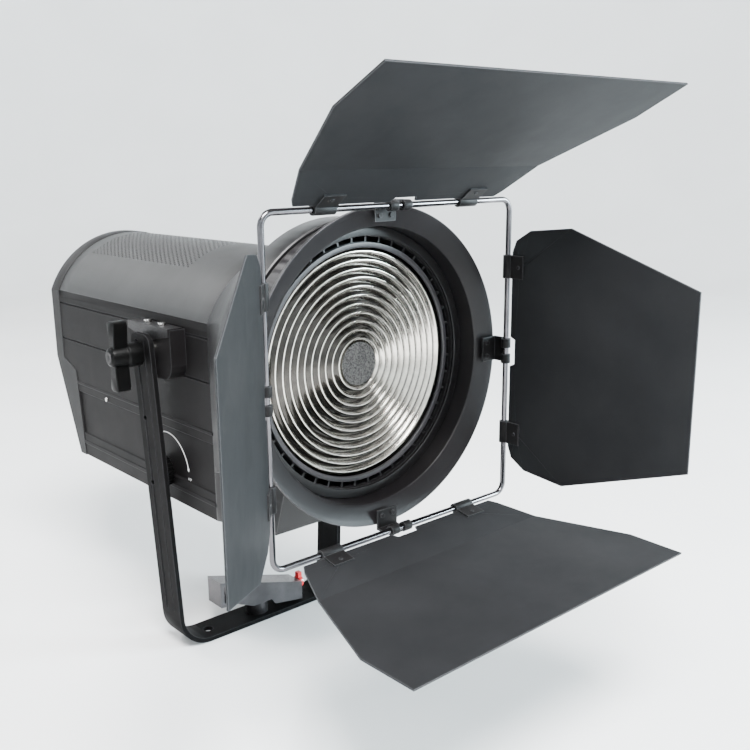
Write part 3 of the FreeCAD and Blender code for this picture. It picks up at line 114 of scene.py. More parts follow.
def add_lamps():
    """A plain pale surrounding light and three large soft lamps aimed at the light."""
    world = bpy.data.worlds.new("studio")
    bpy.context.scene.world = world
    world.use_nodes = True
    surround = world.node_tree.nodes["Background"]
    surround.inputs["Color"].default_value = WORLD_COLOUR
    surround.inputs["Strength"].default_value = WORLD_STRENGTH
    for name, place, size, watts, colour in LAMPS:
        light = bpy.data.lights.new(name, "AREA")
        light.shape = "RECTANGLE"
        light.size, light.size_y = size
        light.energy = watts
        light.color = colour
        lamp = bpy.data.objects.new(name, light)
        bpy.context.collection.objects.link(lamp)
        lamp.location = place
        aim = Vector(LAMP_TARGET) - Vector(place)
        lamp.rotation_euler = aim.to_track_quat("-Z", "Y").to_euler()


def add_stage():
    """A pale round floor that curves up into a pale wall."""
    profile = [(0.0, 0.0), (STAGE_FLAT, 0.0)]
    for step in range(1, STAGE_CURVE_STEPS + 1):
        turn = PI / 2 * step / STAGE_CURVE_STEPS
        profile.append((STAGE_FLAT + STAGE_CURVE * math.sin(turn),
                        STAGE_CURVE * (1 - math.cos(turn))))
    profile.append((STAGE_FLAT + STAGE_CURVE, STAGE_HEIGHT))
    points = []
    faces = []
    rows = len(profile)
    for side in range(STAGE_SIDES):
        turn = 2 * PI * side / STAGE_SIDES
        points += [(out * math.cos(turn), out * math.sin(turn), up) for out, up in profile]
        here = side * rows
        following = (side + 1) % STAGE_SIDES * rows
        for row in range(rows - 1):
            faces.append((here + row, here + row + 1, following + row + 1, following + row))
    mesh = bpy.data.meshes.new("floor")
    mesh.from_pydata(points, [], faces)
    mesh.polygons.foreach_set("use_smooth", [True] * len(mesh.polygons))
    floor = bpy.data.objects.new("floor", mesh)
    bpy.context.collection.objects.link(floor)
    floor.location.z = -STAGE_GAP
    paint, links, shader = new_material("stage_floor")
    noise = texture(paint, NOISE, Scale=3.0, Detail=2.0)
    links.new(ramp_between(paint, noise.outputs["Fac"], STAGE_DARK, STAGE_LIGHT),
              shader.inputs["Base Color"])
    shader.inputs["Roughness"].default_value = STAGE_ROUGH
    mesh.materials.append(paint)


# ---------------------------------------------------------------- material helpers

NOISE = "ShaderNodeTexNoise"
CELLS = "ShaderNodeTexVoronoi"
BRICKS = "ShaderNodeTexBrick"
# A mix node's sockets for colours.
MIX_FIRST = 6
MIX_SECOND = 7
MIX_RESULT = 2

BEVEL_SAMPLES = 4
# The cosine between true and rounded normals on the flat, and on a worn edge.
EDGE_FLAT = 0.99
EDGE_WORN = 0.80
WORN_WIDTH = 0.0012


def new_material(name):
    paint = bpy.data.materials.new(name)
    paint.use_nodes = True
    return paint, paint.node_tree.links, paint.node_tree.nodes["Principled BSDF"]


def texture(paint, kind, stretch=(1, 1, 1), **inputs):
    """A procedural texture in object space, in metres; stretch squeezes it along an axis."""
    tree = paint.node_tree
    place = tree.nodes.get("place") or tree.nodes.new("ShaderNodeTexCoord")
    place.name = "place"
    spread = tree.nodes.new("ShaderNodeMapping")
    spread.inputs["Scale"].default_value = stretch
    tree.links.new(place.outputs["Object"], spread.inputs["Vector"])
    node = tree.nodes.new(kind)
    tree.links.new(spread.outputs["Vector"], node.inputs["Vector"])
    for label, number in inputs.items():
        node.inputs[label.replace("_", " ")].default_value = number
    return node


def ramp_between(paint, source, low, high, start=0.35, end=0.65):
    """Maps a texture's value onto a range of colours."""
    ramp = paint.node_tree.nodes.new("ShaderNodeValToRGB")
    ramp.color_ramp.elements[0].position = start
    ramp.color_ramp.elements[0].color = (*low, 1)
    ramp.color_ramp.elements[1].position = end
    ramp.color_ramp.elements[1].color = (*high, 1)
    paint.node_tree.links.new(source, ramp.inputs["Fac"])
    return ramp.outputs["Color"]


def span(paint, source, low, high, start=0.3, end=0.7):
    """Maps a texture's value onto a range of numbers."""
    node = paint.node_tree.nodes.new("ShaderNodeMapRange")
    ranges = (("From Min", start), ("From Max", end), ("To Min", low), ("To Max", high))
    for label, number in ranges:
        node.inputs[label].default_value = number
    paint.node_tree.links.new(source, node.inputs["Value"])
    return node.outputs["Result"]


def mix(paint, share, first, second):
    """Blends two colours, each a tuple or another node's output."""
    node = paint.node_tree.nodes.new("ShaderNodeMix")
    node.data_type = "RGBA"
    links = paint.node_tree.links
    links.new(share, node.inputs["Factor"])
    for socket, colour in ((MIX_FIRST, first), (MIX_SECOND, second)):
        if isinstance(colour, tuple):
            node.inputs[socket].default_value = (*colour, 1)
        else:
            links.new(colour, node.inputs[socket])
    return node.outputs[MIX_RESULT]


def add_bump(paint, shader, source, depth):
    bump = paint.node_tree.nodes.new("ShaderNodeBump")
    bump.inputs["Distance"].default_value = depth
    paint.node_tree.links.new(source, bump.inputs["Height"])
    paint.node_tree.links.new(bump.outputs["Normal"], shader.inputs["Normal"])


def edge_share(paint):
    """How near a point is to a sharp edge: 0 on the flat, towards 1 on the edge."""
    tree = paint.node_tree
    bevel = tree.nodes.new("ShaderNodeBevel")
    bevel.samples = BEVEL_SAMPLES
    bevel.inputs["Radius"].default_value = WORN_WIDTH
    shape = tree.nodes.new("ShaderNodeNewGeometry")
    dot = tree.nodes.new("ShaderNodeVectorMath")
    dot.operation = "DOT_PRODUCT"
    tree.links.new(bevel.outputs["Normal"], dot.inputs[0])
    tree.links.new(shape.outputs["Normal"], dot.inputs[1])
    return span(paint, dot.outputs["Value"], 1.0, 0.0, EDGE_WORN, EDGE_FLAT)


# ---------------------------------------------------------------- materials

# Each table gives a slot's material by name, with its darkest and lightest tone and roughness.
COATS = {
    "black_extrusion": dict(
        name="black_extrusion", dark=(0.0046, 0.0041, 0.0043), light=(0.0062, 0.0056, 0.0059),
        rough=0.52, worn=(0.034, 0.034, 0.036), gloss=0.08),
    "black_metal": dict(
        name="black_powder_coat", dark=(0.0055, 0.0052, 0.0055), light=(0.0080, 0.0076, 0.0080),
        rough=0.50, worn=(0.055, 0.055, 0.058), gloss=0.12),
    "yoke_coat": dict(
        name="yoke_powder_coat", dark=(0.0030, 0.0028, 0.0030), light=(0.0044, 0.0042, 0.0044),
        rough=0.56, worn=(0.04, 0.04, 0.042), gloss=0.03),
    "black_cover": dict(
        name="cover_powder_coat", dark=(0.0150, 0.0150, 0.0153), light=(0.0185, 0.0185, 0.0188),
        rough=0.50, worn=(0.11, 0.11, 0.112), gloss=0.4),
    "bezel_coat": dict(
        name="bezel_powder_coat", dark=(0.0095, 0.0092, 0.0095), light=(0.0125, 0.0121, 0.0125),
        rough=0.52, worn=(0.06, 0.06, 0.062), gloss=0.15),
    "black_cast": dict(
        name="black_casting", dark=(0.006, 0.0056, 0.006), light=(0.009, 0.0085, 0.009),
        rough=0.36, grain=0.00006, grain_scale=700, worn=(0.07, 0.07, 0.072), gloss=0.28),
    "ring_paint": dict(
        name="ring_paint", dark=(0.0065, 0.0058, 0.0065), light=(0.0092, 0.0083, 0.0092),
        rough=0.38, grain=0.00002, worn=(0.12, 0.113, 0.12), gloss=0.25),
    # The leaves' reflections are tinted teal: a painted reflection of coloured light from the
    # surroundings.
    "leaf_sheet": dict(
        name="leaf_paint", dark=(0.0125, 0.0121, 0.0130), light=(0.0160, 0.0155, 0.0165),
        rough=0.58, worn=(0.08, 0.08, 0.085), specks=(0.035, 0.04, 0.04), gloss=0.07,
        painted_reflection_tint=(0.55, 0.95, 1.0)),
    "grey_metal": dict(
        name="grey_coat", dark=(0.030, 0.029, 0.032), light=(0.046, 0.044, 0.049),
        rough=0.36, worn=(0.13, 0.13, 0.135), gloss=0.4),
}
METALS = {
    "cast_alloy": dict(
        name="cast_alloy", dark=(0.065, 0.062, 0.065), light=(0.115, 0.11, 0.115), rough=0.38,
        scratch=0.00003),
    "bare_aluminium": dict(
        name="mill_aluminium", dark=(0.50, 0.50, 0.51), light=(0.64, 0.64, 0.65), rough=0.38,
        brushed=(1, 0.05, 1)),
    "plated_steel": dict(
        name="zinc_plate", dark=(0.58, 0.57, 0.55), light=(0.74, 0.73, 0.71), rough=0.20),
    "black_zinc": dict(
        name="black_zinc", dark=(0.030, 0.029, 0.030), light=(0.050, 0.048, 0.050), rough=0.42),
    "chromed_rod": dict(
        name="black_chrome", dark=(0.085, 0.082, 0.088), light=(0.13, 0.126, 0.134), rough=0.17),
    "bearing_brass": dict(
        name="machined_brass", dark=(0.62, 0.44, 0.18), light=(0.74, 0.55, 0.26), rough=0.28,
        brushed=(0.05, 1, 1)),
}
MOULDINGS = {
    "black_plastic": dict(
        name="black_plastic", dark=(0.0012, 0.0012, 0.0012), light=(0.0022, 0.0022, 0.0022),
        rough=0.36, grain=0.000004, gloss=0.09),
    "red_plastic": dict(
        name="red_plastic", dark=(0.55, 0.010, 0.015), light=(0.70, 0.020, 0.025), rough=0.3),
    "grey_rubber": dict(
        name="grey_rubber", dark=(0.10, 0.10, 0.105), light=(0.14, 0.14, 0.145), rough=0.6),
    "white_print": dict(
        name="white_print", dark=(0.70, 0.70, 0.70), light=(0.80, 0.80, 0.80), rough=0.5),
}
# The lens glass in two metallic copies, standing in for a silvered reflector behind it: a dark
# painted reflection on the facets and a bright painted highlight on the risers.
LENS_GLASSES = {
    "clear_glass": dict(
        name="lens_facets_painted_reflection", dark=(0.026, 0.023, 0.019), light=(0.048, 0.043, 0.036),
        metallic=0.9, rough=0.21),
    "lens_riser_painted_highlight": dict(
        name="lens_risers_painted_highlight", dark=(0.66, 0.62, 0.55), light=(0.84, 0.80, 0.72),
        metallic=0.95, rough=0.17),
}


def coated(name, dark, light, rough, worn, gloss, grain=0.00004, grain_scale=1600, specks=None,
           painted_reflection_tint=(1, 1, 1)):
    """Powder coat or paint: fine orange peel, cloudy tone and edges worn lighter; a tint on its
    reflections, where given, is a painted reflection of coloured light.
    """
    paint, links, shader = new_material(name)
    cloud = texture(paint, NOISE, Scale=16.0, Detail=5.0, Roughness=0.6)
    colour = ramp_between(paint, cloud.outputs["Fac"], dark, light)
    fine = texture(paint, NOISE, Scale=grain_scale, Detail=2.0)
    if specks:
        dust = texture(paint, CELLS, Scale=260.0)
        share = span(paint, dust.outputs["Distance"], 0.5, 0.0, start=0.03, end=0.10)
        colour = mix(paint, share, colour, specks)
    colour = mix(paint, edge_share(paint), colour, worn)
    links.new(colour, shader.inputs["Base Color"])
    smudge = texture(paint, NOISE, Scale=42.0, Detail=4.0, Distortion=0.6)
    links.new(span(paint, smudge.outputs["Fac"], rough - 0.02, rough + 0.03),
              shader.inputs["Roughness"])
    shader.inputs["Specular IOR Level"].default_value = gloss
    # Tinted reflections: a painted reflection of coloured light.
    shader.inputs["Specular Tint"].default_value = (*painted_reflection_tint, 1)
    add_bump(paint, shader, fine.outputs["Fac"], grain)
    return paint


def metal(name, dark, light, rough, brushed=(1, 1, 1), scratch=0.00001):
    """Bare or plated metal with fine machining lines along one axis and cloudy polish."""
    paint, links, shader = new_material(name)
    cloud = texture(paint, NOISE, Scale=35.0, Detail=5.0)
    links.new(ramp_between(paint, cloud.outputs["Fac"], dark, light), shader.inputs["Base Color"])
    lines = texture(paint, NOISE, stretch=brushed, Scale=900.0, Detail=3.0)
    links.new(span(paint, lines.outputs["Fac"], rough * 0.7, rough * 1.4),
              shader.inputs["Roughness"])
    shader.inputs["Metallic"].default_value = 1.0
    add_bump(paint, shader, lines.outputs["Fac"], scratch)
    return paint


def moulded(name, dark, light, rough, grain=0.00003, gloss=0.5):
    """Moulded plastic or rubber with a fine cell texture."""
    paint, links, shader = new_material(name)
    cloud = texture(paint, NOISE, Scale=30.0, Detail=3.0)
    links.new(ramp_between(paint, cloud.outputs["Fac"], dark, light), shader.inputs["Base Color"])
    cells = texture(paint, CELLS, Scale=900.0)
    links.new(span(paint, cells.outputs["Distance"], rough - 0.05, rough + 0.1),
              shader.inputs["Roughness"])
    shader.inputs["Specular IOR Level"].default_value = gloss
    add_bump(paint, shader, cells.outputs["Distance"], grain)
    return paint


def lens_glass(name, dark, light, metallic, rough):
    """Pressed glass, a little warm, with faint ripples from the mould, made metallic so that it
    paints the reflection of a silvered reflector behind it, which is not modelled.
    """
    paint, links, shader = new_material(name)
    ripple = texture(paint, NOISE, Scale=160.0, Detail=3.0)
    links.new(ramp_between(paint, ripple.outputs["Fac"], dark, light),
              shader.inputs["Base Color"])
    links.new(span(paint, ripple.outputs["Fac"], rough, rough + 0.06), shader.inputs["Roughness"])
    shader.inputs["Metallic"].default_value = metallic
    shader.inputs["Coat Weight"].default_value = 0.6
    shader.inputs["Coat Roughness"].default_value = 0.04
    add_bump(paint, shader, ripple.outputs["Fac"], depth=0.00002)
    return paint


def frosted_glass():
    """The stippled middle of the lens."""
    paint, links, shader = new_material("stippled_glass")
    distance = texture(paint, CELLS, Scale=900.0).outputs["Distance"]
    colour = ramp_between(paint, distance, (0.03, 0.03, 0.03), (0.16, 0.155, 0.15),
                          start=0.1, end=0.9)
    links.new(colour, shader.inputs["Base Color"])
    links.new(span(paint, distance, 0.2, 0.4), shader.inputs["Roughness"])
    shader.inputs["Transmission Weight"].default_value = 0.3
    add_bump(paint, shader, distance, depth=0.0003)
    return paint


def smoked_glass():
    """The dark window over the display."""
    paint, links, shader = new_material("smoked_glass")
    cloud = texture(paint, NOISE, Scale=60.0, Detail=2.0).outputs["Fac"]
    colour = ramp_between(paint, cloud, (0.010, 0.012, 0.016), (0.016, 0.018, 0.024))
    links.new(colour, shader.inputs["Base Color"])
    links.new(span(paint, cloud, 0.04, 0.10), shader.inputs["Roughness"])
    shader.inputs["Coat Weight"].default_value = 0.6
    return paint


def circuit_mask():
    """Green solder mask with lighter copper tracks under it."""
    paint, links, shader = new_material("solder_mask")
    tracks = texture(paint, BRICKS, Scale=220.0, Mortar_Size=0.03)
    share = span(paint, tracks.outputs["Fac"], 0.0, 1.0, start=0.4, end=0.6)
    links.new(mix(paint, share, (0.010, 0.085, 0.035), (0.03, 0.17, 0.07)),
              shader.inputs["Base Color"])
    cloud = texture(paint, NOISE, Scale=200.0)
    links.new(span(paint, cloud.outputs["Fac"], 0.3, 0.45), shader.inputs["Roughness"])
    return paint


def phosphor():
    """The LED's yellow phosphor dome in its white ceramic plate."""
    paint, links, shader = new_material("phosphor")
    distance = texture(paint, CELLS, Scale=420.0).outputs["Distance"]
    colour = ramp_between(paint, distance, (0.75, 0.55, 0.12), (0.86, 0.70, 0.25),
                          start=0.1, end=0.7)
    links.new(colour, shader.inputs["Base Color"])
    links.new(span(paint, distance, 0.35, 0.55), shader.inputs["Roughness"])
    add_bump(paint, shader, distance, depth=0.00003)
    return paint


def make_materials():
    paints = {}
    for table, make in ((COATS, coated), (METALS, metal), (MOULDINGS, moulded)):
        paints.update({slot: make(**look) for slot, look in table.items()})
    paints["circuit_board"] = circuit_mask()
    paints["led_phosphor"] = phosphor()
    paints["smoked_window"] = smoked_glass()
    paints.update({slot: lens_glass(**look) for slot, look in LENS_GLASSES.items()})
    paints["frosted_glass"] = frosted_glass()
    return paints


# ---------------------------------------------------------------- mesh helpers

MERGE_DISTANCE = 0.000002
NEARLY_STRAIGHT = math.radians(165)
ON_AXIS = 0.01
CORNER_REACH = 0.4
CORNER_SHARES = (0, 0.3, 0.7, 1)
ROUND_STEPS = 192
Y_AXIS = Vector((0, 1, 0))


def extent(node):
    """A CAD node's lowest and highest corners, in millimetres from the tilt axis."""
    shift = Vector((0, 0, AXIS_HEIGHT))
    low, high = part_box(node)
    return (low - shift) / MM, (high - shift) / MM


def add_piece(name, points, faces, paints, body, replaced=(), sharp=40, marks=None):
    """A mesh piece from points in millimetres of the head.

    marks gives each face's material index; edges over sharp degrees stay sharp.
    """
    mesh = bpy.data.meshes.new(name)
    mesh.from_pydata([head(*point) for point in points], [], faces)
    for paint in paints:
        mesh.materials.append(paint)
    if marks:
        mesh.polygons.foreach_set("material_index", marks)
    merged = bmesh.new()
    merged.from_mesh(mesh)
    bmesh.ops.remove_doubles(merged, verts=merged.verts, dist=MERGE_DISTANCE)
    bmesh.ops.recalc_face_normals(merged, faces=merged.faces)
    merged.to_mesh(mesh)
    merged.free()
    mesh.polygons.foreach_set("use_smooth", [True] * len(mesh.polygons))
    mesh.set_sharp_from_angle(angle=math.radians(sharp))
    piece = bpy.data.objects.new(name, mesh)
    bpy.context.collection.objects.link(piece)
    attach(piece, body)
    if replaced:
        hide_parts(*replaced)


def softened(profile, width):
    """A closed outline whose corners are cut by short curves; corners on the axis stay."""
    points = []
    for index, corner in enumerate(profile):
        here = Vector(corner)
        before = Vector(profile[index - 1]) - here
        after = Vector(profile[(index + 1) % len(profile)]) - here
        if here.y < ON_AXIS or before.angle(after) > NEARLY_STRAIGHT:
            points.append(here)
            continue
        reach = min(width, CORNER_REACH * before.length, CORNER_REACH * after.length)
        start = here + before.normalized() * reach
        end = here + after.normalized() * reach
        for share in CORNER_SHARES:
            points.append((1 - share) ** 2 * start + 2 * share * (1 - share) * here
                          + share ** 2 * end)
    return points


def strip(start, following, count):
    """Quads between two closed rows of count points that begin at start and following."""
    quads = []
    for step in range(count):
        beside = (step + 1) % count
        quads.append((start + step, start + beside, following + beside, following + step))
    return quads


def lathe(profile, count, ripple=None):
    """Points and faces of an outline of (y, radius) turned about the optical axis."""
    points = []
    for step in range(count):
        turn = 2 * PI * step / count
        for y, radius in profile:
            wide = radius + (ripple(y, radius, step) if ripple else 0)
            points.append((wide * math.cos(turn), y, wide * math.sin(turn)))
    rows = len(profile)
    faces = []
    for step in range(count):
        faces += strip(step * rows, (step + 1) % count * rows, rows)
    return points, faces


def swept(path, radius, count):
    """A tube round a closed path of (x, y, z) points that all lie at one y."""
    points = []
    for index, place in enumerate(path):
        along = (Vector(path[(index + 1) % len(path)]) - Vector(path[index - 1])).normalized()
        outward = along.cross(Y_AXIS)
        for step in range(count):
            turn = 2 * PI * step / count
            points.append(Vector(place) + radius * (math.cos(turn) * outward
                                                    + math.sin(turn) * Y_AXIS))
    faces = []
    for index in range(len(path)):
        faces += strip(index * count, (index + 1) % len(path) * count, count)
    return points, faces


def add_turned(node, name, profile, softness, paint, body="head", count=ROUND_STEPS, ripple=None):
    """A ring turned from a softened outline, in place of one CAD node."""
    points, faces = lathe(softened(profile, softness), count, ripple)
    add_piece(name, points, faces, [paint], body, [node])


# ---------------------------------------------------------------- perforated top cover

HOLE_PITCH = 4.75
HOLE_RADIUS = 1.45
HOLES_ACROSS = 26
HOLE_ROWS = 49
HOLES_START = 4.5
RIM_POINTS = 12
RIM_START = 225
COVER_WALL = 2.0
COVER_EDGE = 0.5
COVER_EDGE_DROP = 0.6
COVER_TOUCH = 0.01
FLANK_STRIPS = 6
FRONT_STRIPS = 4
# Points round a hole's cell, as shares of its width and height, one for each point of the rim.
CELL_BORDER = ((0, 0), (0.25, 0), (0.5, 0), (0.75, 0), (1, 0), (1, 0.5), (1, 1), (0.75, 1),
               (0.5, 1), (0.25, 1), (0, 1), (0, 0.5))
CELL_STRIPS_ACROSS = 4
CELL_STRIPS_ALONG = 2


class Grid:
    """Collects points and faces on a flat development: u runs along the arc, v along the light."""

    def __init__(self):
        self.places = []
        self.index = {}
        self.faces = []

    def point(self, u, v, drop):
        key = (round(u, 4), round(v, 4), round(drop, 4))
        if key not in self.index:
            self.index[key] = len(self.places)
            self.places.append((u, v, drop))
        return self.index[key]

    def quad(self, corners, drop):
        self.faces.append([self.point(u, v, drop) for u, v in corners])

    def wall(self, first, second):
        """A quad through the sheet, between two places on its face."""
        corners = ((first, 0.0), (second, 0.0), (second, COVER_WALL), (first, COVER_WALL))
        self.faces.append([self.point(*place, drop) for place, drop in corners])

    def cells(self, columns, rows, drop):
        for left, right in zip(columns, columns[1:]):
            for low, high in zip(rows, rows[1:]):
                self.quad([(left, low), (right, low), (right, high), (left, high)], drop)


def hole_cell(grid, left, low, wide, tall):
    """One cell with a round hole: a ring of quads on both faces and the wall of the hole."""
    border = [(left + wide * across, low + tall * up) for across, up in CELL_BORDER]
    middle_u = left + wide / 2
    middle_v = low + tall / 2
    rim = []
    for step in range(RIM_POINTS):
        turn = math.radians(RIM_START + 360 / RIM_POINTS * step)
        rim.append((middle_u + HOLE_RADIUS * math.cos(turn),
                    middle_v + HOLE_RADIUS * math.sin(turn)))
    for step in range(RIM_POINTS):
        beside = (step + 1) % RIM_POINTS
        for drop in (0.0, COVER_WALL):
            grid.quad([border[step], border[beside], rim[beside], rim[step]], drop)
        grid.wall(rim[step], rim[beside])


def spaced(start, end, count):
    return [start + (end - start) * step / count for step in range(count + 1)]


def make_top_cover(paints):
    """The arched cover with its field of small round holes in staggered rows."""
    low, high = extent("top_cover")
    half = (high.x - low.x) / 2
    rise = high.z - low.z
    radius = (half ** 2 + rise ** 2) / (2 * rise)
    reach = radius * math.asin(half / radius)
    if rise > radius:
        reach = PI * radius - reach
    tall = HOLE_PITCH * math.sqrt(3) / 2
    edge = HOLES_ACROSS * HOLE_PITCH / 2
    finish = HOLES_START + HOLE_ROWS * tall
    grid = Grid()
    for row in range(HOLE_ROWS):
        start = HOLES_START + row * tall
        shift = row % 2 * HOLE_PITCH / 2
        for column in range(HOLES_ACROSS - row % 2):
            hole_cell(grid, -edge + shift + column * HOLE_PITCH, start, HOLE_PITCH, tall)
        if row % 2:
            for left in (-edge, edge - HOLE_PITCH / 2):
                columns = spaced(left, left + HOLE_PITCH / 2, CELL_STRIPS_ACROSS // 2)
                for drop in (0.0, COVER_WALL):
                    grid.cells(columns, spaced(start, start + tall, CELL_STRIPS_ALONG), drop)
    flank = spaced(edge, reach - COVER_EDGE, FLANK_STRIPS) + [reach]
    field = spaced(-edge, edge, HOLES_ACROSS * CELL_STRIPS_ACROSS)
    left_flank = [-u for u in reversed(flank)]
    across = left_flank + field[1:-1] + flank
    rows = spaced(HOLES_START, finish, HOLE_ROWS * CELL_STRIPS_ALONG)
    ahead = [low.y] + spaced(low.y + COVER_EDGE, HOLES_START, FRONT_STRIPS)
    behind = [finish, high.y - COVER_EDGE, high.y]
    for drop in (0.0, COVER_WALL):
        grid.cells(flank, rows, drop)
        grid.cells(left_flank, rows, drop)
        grid.cells(across, ahead, drop)
        grid.cells(across, behind, drop)
    along = ahead + rows[1:-1] + behind
    for u in (-reach, reach):
        for v, further in zip(along, along[1:]):
            grid.wall((u, v), (u, further))
    for v in (low.y, high.y):
        for u, further in zip(across, across[1:]):
            grid.wall((u, v), (further, v))
    points = []
    for u, v, drop in grid.places:
        on_edge = (abs(u) > reach - COVER_TOUCH or v < low.y + COVER_TOUCH
                   or v > high.y - COVER_TOUCH)
        depth = radius - drop - (COVER_EDGE_DROP * COVER_EDGE if on_edge and drop == 0 else 0)
        turn = u / radius
        points.append((depth * math.sin(turn), v, high.z - radius + depth * math.cos(turn)))
    add_piece("perforated_cover", points, grid.faces, [paints["black_cover"]], "head",
              ["top_cover"], sharp=50)


# ---------------------------------------------------------------- lens

LENS_RINGS = 11
LENS_CENTRE = 19.0
LENS_RIM = 1.5
LENS_STEP = 2.6
LENS_CURVE = 1.4
LENS_RISER = 0.36
LENS_DOME = 0.5
LENS_DOME_DROP = 0.4
# Points of one ring's outline, as shares of its width from the inner edge, and of the middle's.
RING_SHARES = (0.85, 0.65, 0.48, 0.36, 0.27, 0.14, 0.0)
DOME_SHARES = (0.97, 0.9, 0.75, 0.5, 0.25, 0)
FACET, RISER, MIDDLE = 0, 1, 2


def make_lens(paints):
    """Pressed glass with a flat back, a stippled middle and rings of rounded facets in front."""
    low, high = extent("fresnel_lens")
    radius = high.x
    valley = low.y + LENS_STEP
    pitch = (radius - LENS_CENTRE - LENS_RIM) / LENS_RINGS
    profile = [(high.y, 0), (high.y, radius), (valley, radius), (valley, radius - LENS_RIM)]
    painted_highlight_rows = []
    for ring in range(LENS_RINGS, 0, -1):
        inner = LENS_CENTRE + (ring - 1) * pitch
        for share in RING_SHARES:
            if share > LENS_RISER:
                depth = LENS_STEP * ((share - LENS_RISER) / (1 - LENS_RISER)) ** LENS_CURVE
            else:
                depth = LENS_STEP * (1 - share / LENS_RISER) ** LENS_CURVE
                painted_highlight_rows.append(len(profile) - 1)
            profile.append((low.y + depth, inner + share * pitch))
    last_ring_row = len(profile) - 1
    for share in DOME_SHARES:
        profile.append((low.y + LENS_DOME_DROP + LENS_DOME * share ** 2, LENS_CENTRE * share))
    points, faces = lathe(profile, ROUND_STEPS)
    # Risers wear the bright painted-highlight glass, facets the dark painted-reflection glass, and
    # the middle the stippled glass.
    marks = []
    for face in range(len(faces)):
        row = face % len(profile)
        marks.append(MIDDLE if row > last_ring_row else RISER if row in painted_highlight_rows else FACET)
    glass = [paints["clear_glass"], paints["lens_riser_painted_highlight"], paints["frosted_glass"]]
    add_piece("lens_glass", points, faces, glass, "head", ["fresnel_lens"],
              sharp=50, marks=marks)


# ---------------------------------------------------------------- rings and rod

RETAINER_WIDTH = 4.3
RETAINER_LIP = 3.4
RETAINER_SLOPE = 0.8
RETAINER_SOFTNESS = 0.4
KEEPER_WIDTH = 7.9
KEEPER_SOFTNESS = 0.7

# The door ring's outline: millimetres from its front or back, and inwards from its rim.
RING_FACE = ((0, 0), (2.2, 5.5), (6.5, 14.4), (8, 17.4))
RING_BACK = ((8.8, 17.4), (8.8, 19.7), (0, 19.7), (0, 13.7), (3, 13.7))
RING_SHOULDER = ((13.8, 13.7), (10.8, 13.7), (3.2, 0))
RING_SOFTNESS = 0.9
RIB_COUNT = 72
RIB_STEPS = 4
RIB_DEPTH = 0.9
RIB_INSET = 13.8
RIB_FRONT = 13
RIB_BACK = 2

ROD_CORNER = 10
ROD_CORNER_STEPS = 8
ROD_SIDES = 16


def make_lens_rings(paints):
    """The ring that holds the lens, and the wider ring that keeps the barn door in."""
    low, high = extent("lens_retainer")
    outer = high.x
    profile = [(high.y, outer - RETAINER_WIDTH), (high.y, outer), (low.y, outer),
               (low.y, outer - RETAINER_LIP), (low.y + RETAINER_SLOPE, outer - RETAINER_WIDTH)]
    add_turned("lens_retainer", "lens_retaining_ring", profile, RETAINER_SOFTNESS,
               paints["grey_metal"])
    low, high = extent("ring_keeper")
    outer = high.x
    profile = [(high.y, outer - KEEPER_WIDTH), (high.y, outer), (low.y, outer),
               (low.y, outer - KEEPER_WIDTH)]
    add_turned("ring_keeper", "door_keeper_ring", profile, KEEPER_SOFTNESS, paints["black_cast"])


def make_door_ring(paints):
    """Spun ring of the barn door: a rolled lip, a sloping face, a hood and a ribbed skirt."""
    low, high = extent("door_ring")
    outer = high.x
    front = low.y
    back = high.y
    profile = [(front + behind, outer - inwards) for behind, inwards in RING_FACE]
    profile += [(back - ahead, outer - inwards) for ahead, inwards in RING_BACK]
    profile += [(front + behind, outer - inwards) for behind, inwards in RING_SHOULDER]

    def ribs(y, radius, step):
        on_skirt = radius > outer - RIB_INSET and front + RIB_FRONT < y < back - RIB_BACK
        return -RIB_DEPTH if on_skirt and step % RIB_STEPS >= RIB_STEPS // 2 else 0

    add_turned("door_ring", "barn_door_ring", profile, RING_SOFTNESS, paints["ring_paint"],
               "barn_door", RIB_COUNT * RIB_STEPS, ribs)


def make_rod_frame(paints):
    """The bent rod that carries the four leaves."""
    low, high = extent("rod_frame")
    radius = (high.y - low.y) / 2
    middle = (high.y + low.y) / 2
    half_wide = high.x - radius
    half_tall = high.z - radius
    path = []
    for quarter in range(4):
        side = 1 if quarter in (0, 3) else -1
        top = 1 if quarter < 2 else -1
        for step in range(ROD_CORNER_STEPS + 1):
            turn = PI / 2 * (quarter + step / ROD_CORNER_STEPS)
            path.append((side * (half_wide - ROD_CORNER) + ROD_CORNER * math.cos(turn), middle,
                         top * (half_tall - ROD_CORNER) + ROD_CORNER * math.sin(turn)))
    points, faces = swept(path, radius, ROD_SIDES)
    add_piece("barn_door_rod", points, faces, [paints["chromed_rod"]], "barn_door",
              ["rod_frame"])


# ---------------------------------------------------------------- tilt grip

# The arms lie between these planes; the hub's outline is (x, radius) from the case outwards.
GRIP_FAR = -141.0
GRIP_NEAR = -127.5
HUB_RADIUS = 11.0
HUB_FLAT = 5.2
HUB_STEPS = 48
HUB_SOFTNESS = 0.5
ARM_BEVEL = 0.8
ARM_HALF_WIDTH = 6.5
ARM_PLANES = ((GRIP_FAR, ARM_BEVEL), (GRIP_FAR + ARM_BEVEL, 0.0), (GRIP_NEAR - ARM_BEVEL, 0.0),
              (GRIP_NEAR, ARM_BEVEL))
GRIP_SHARP = 38


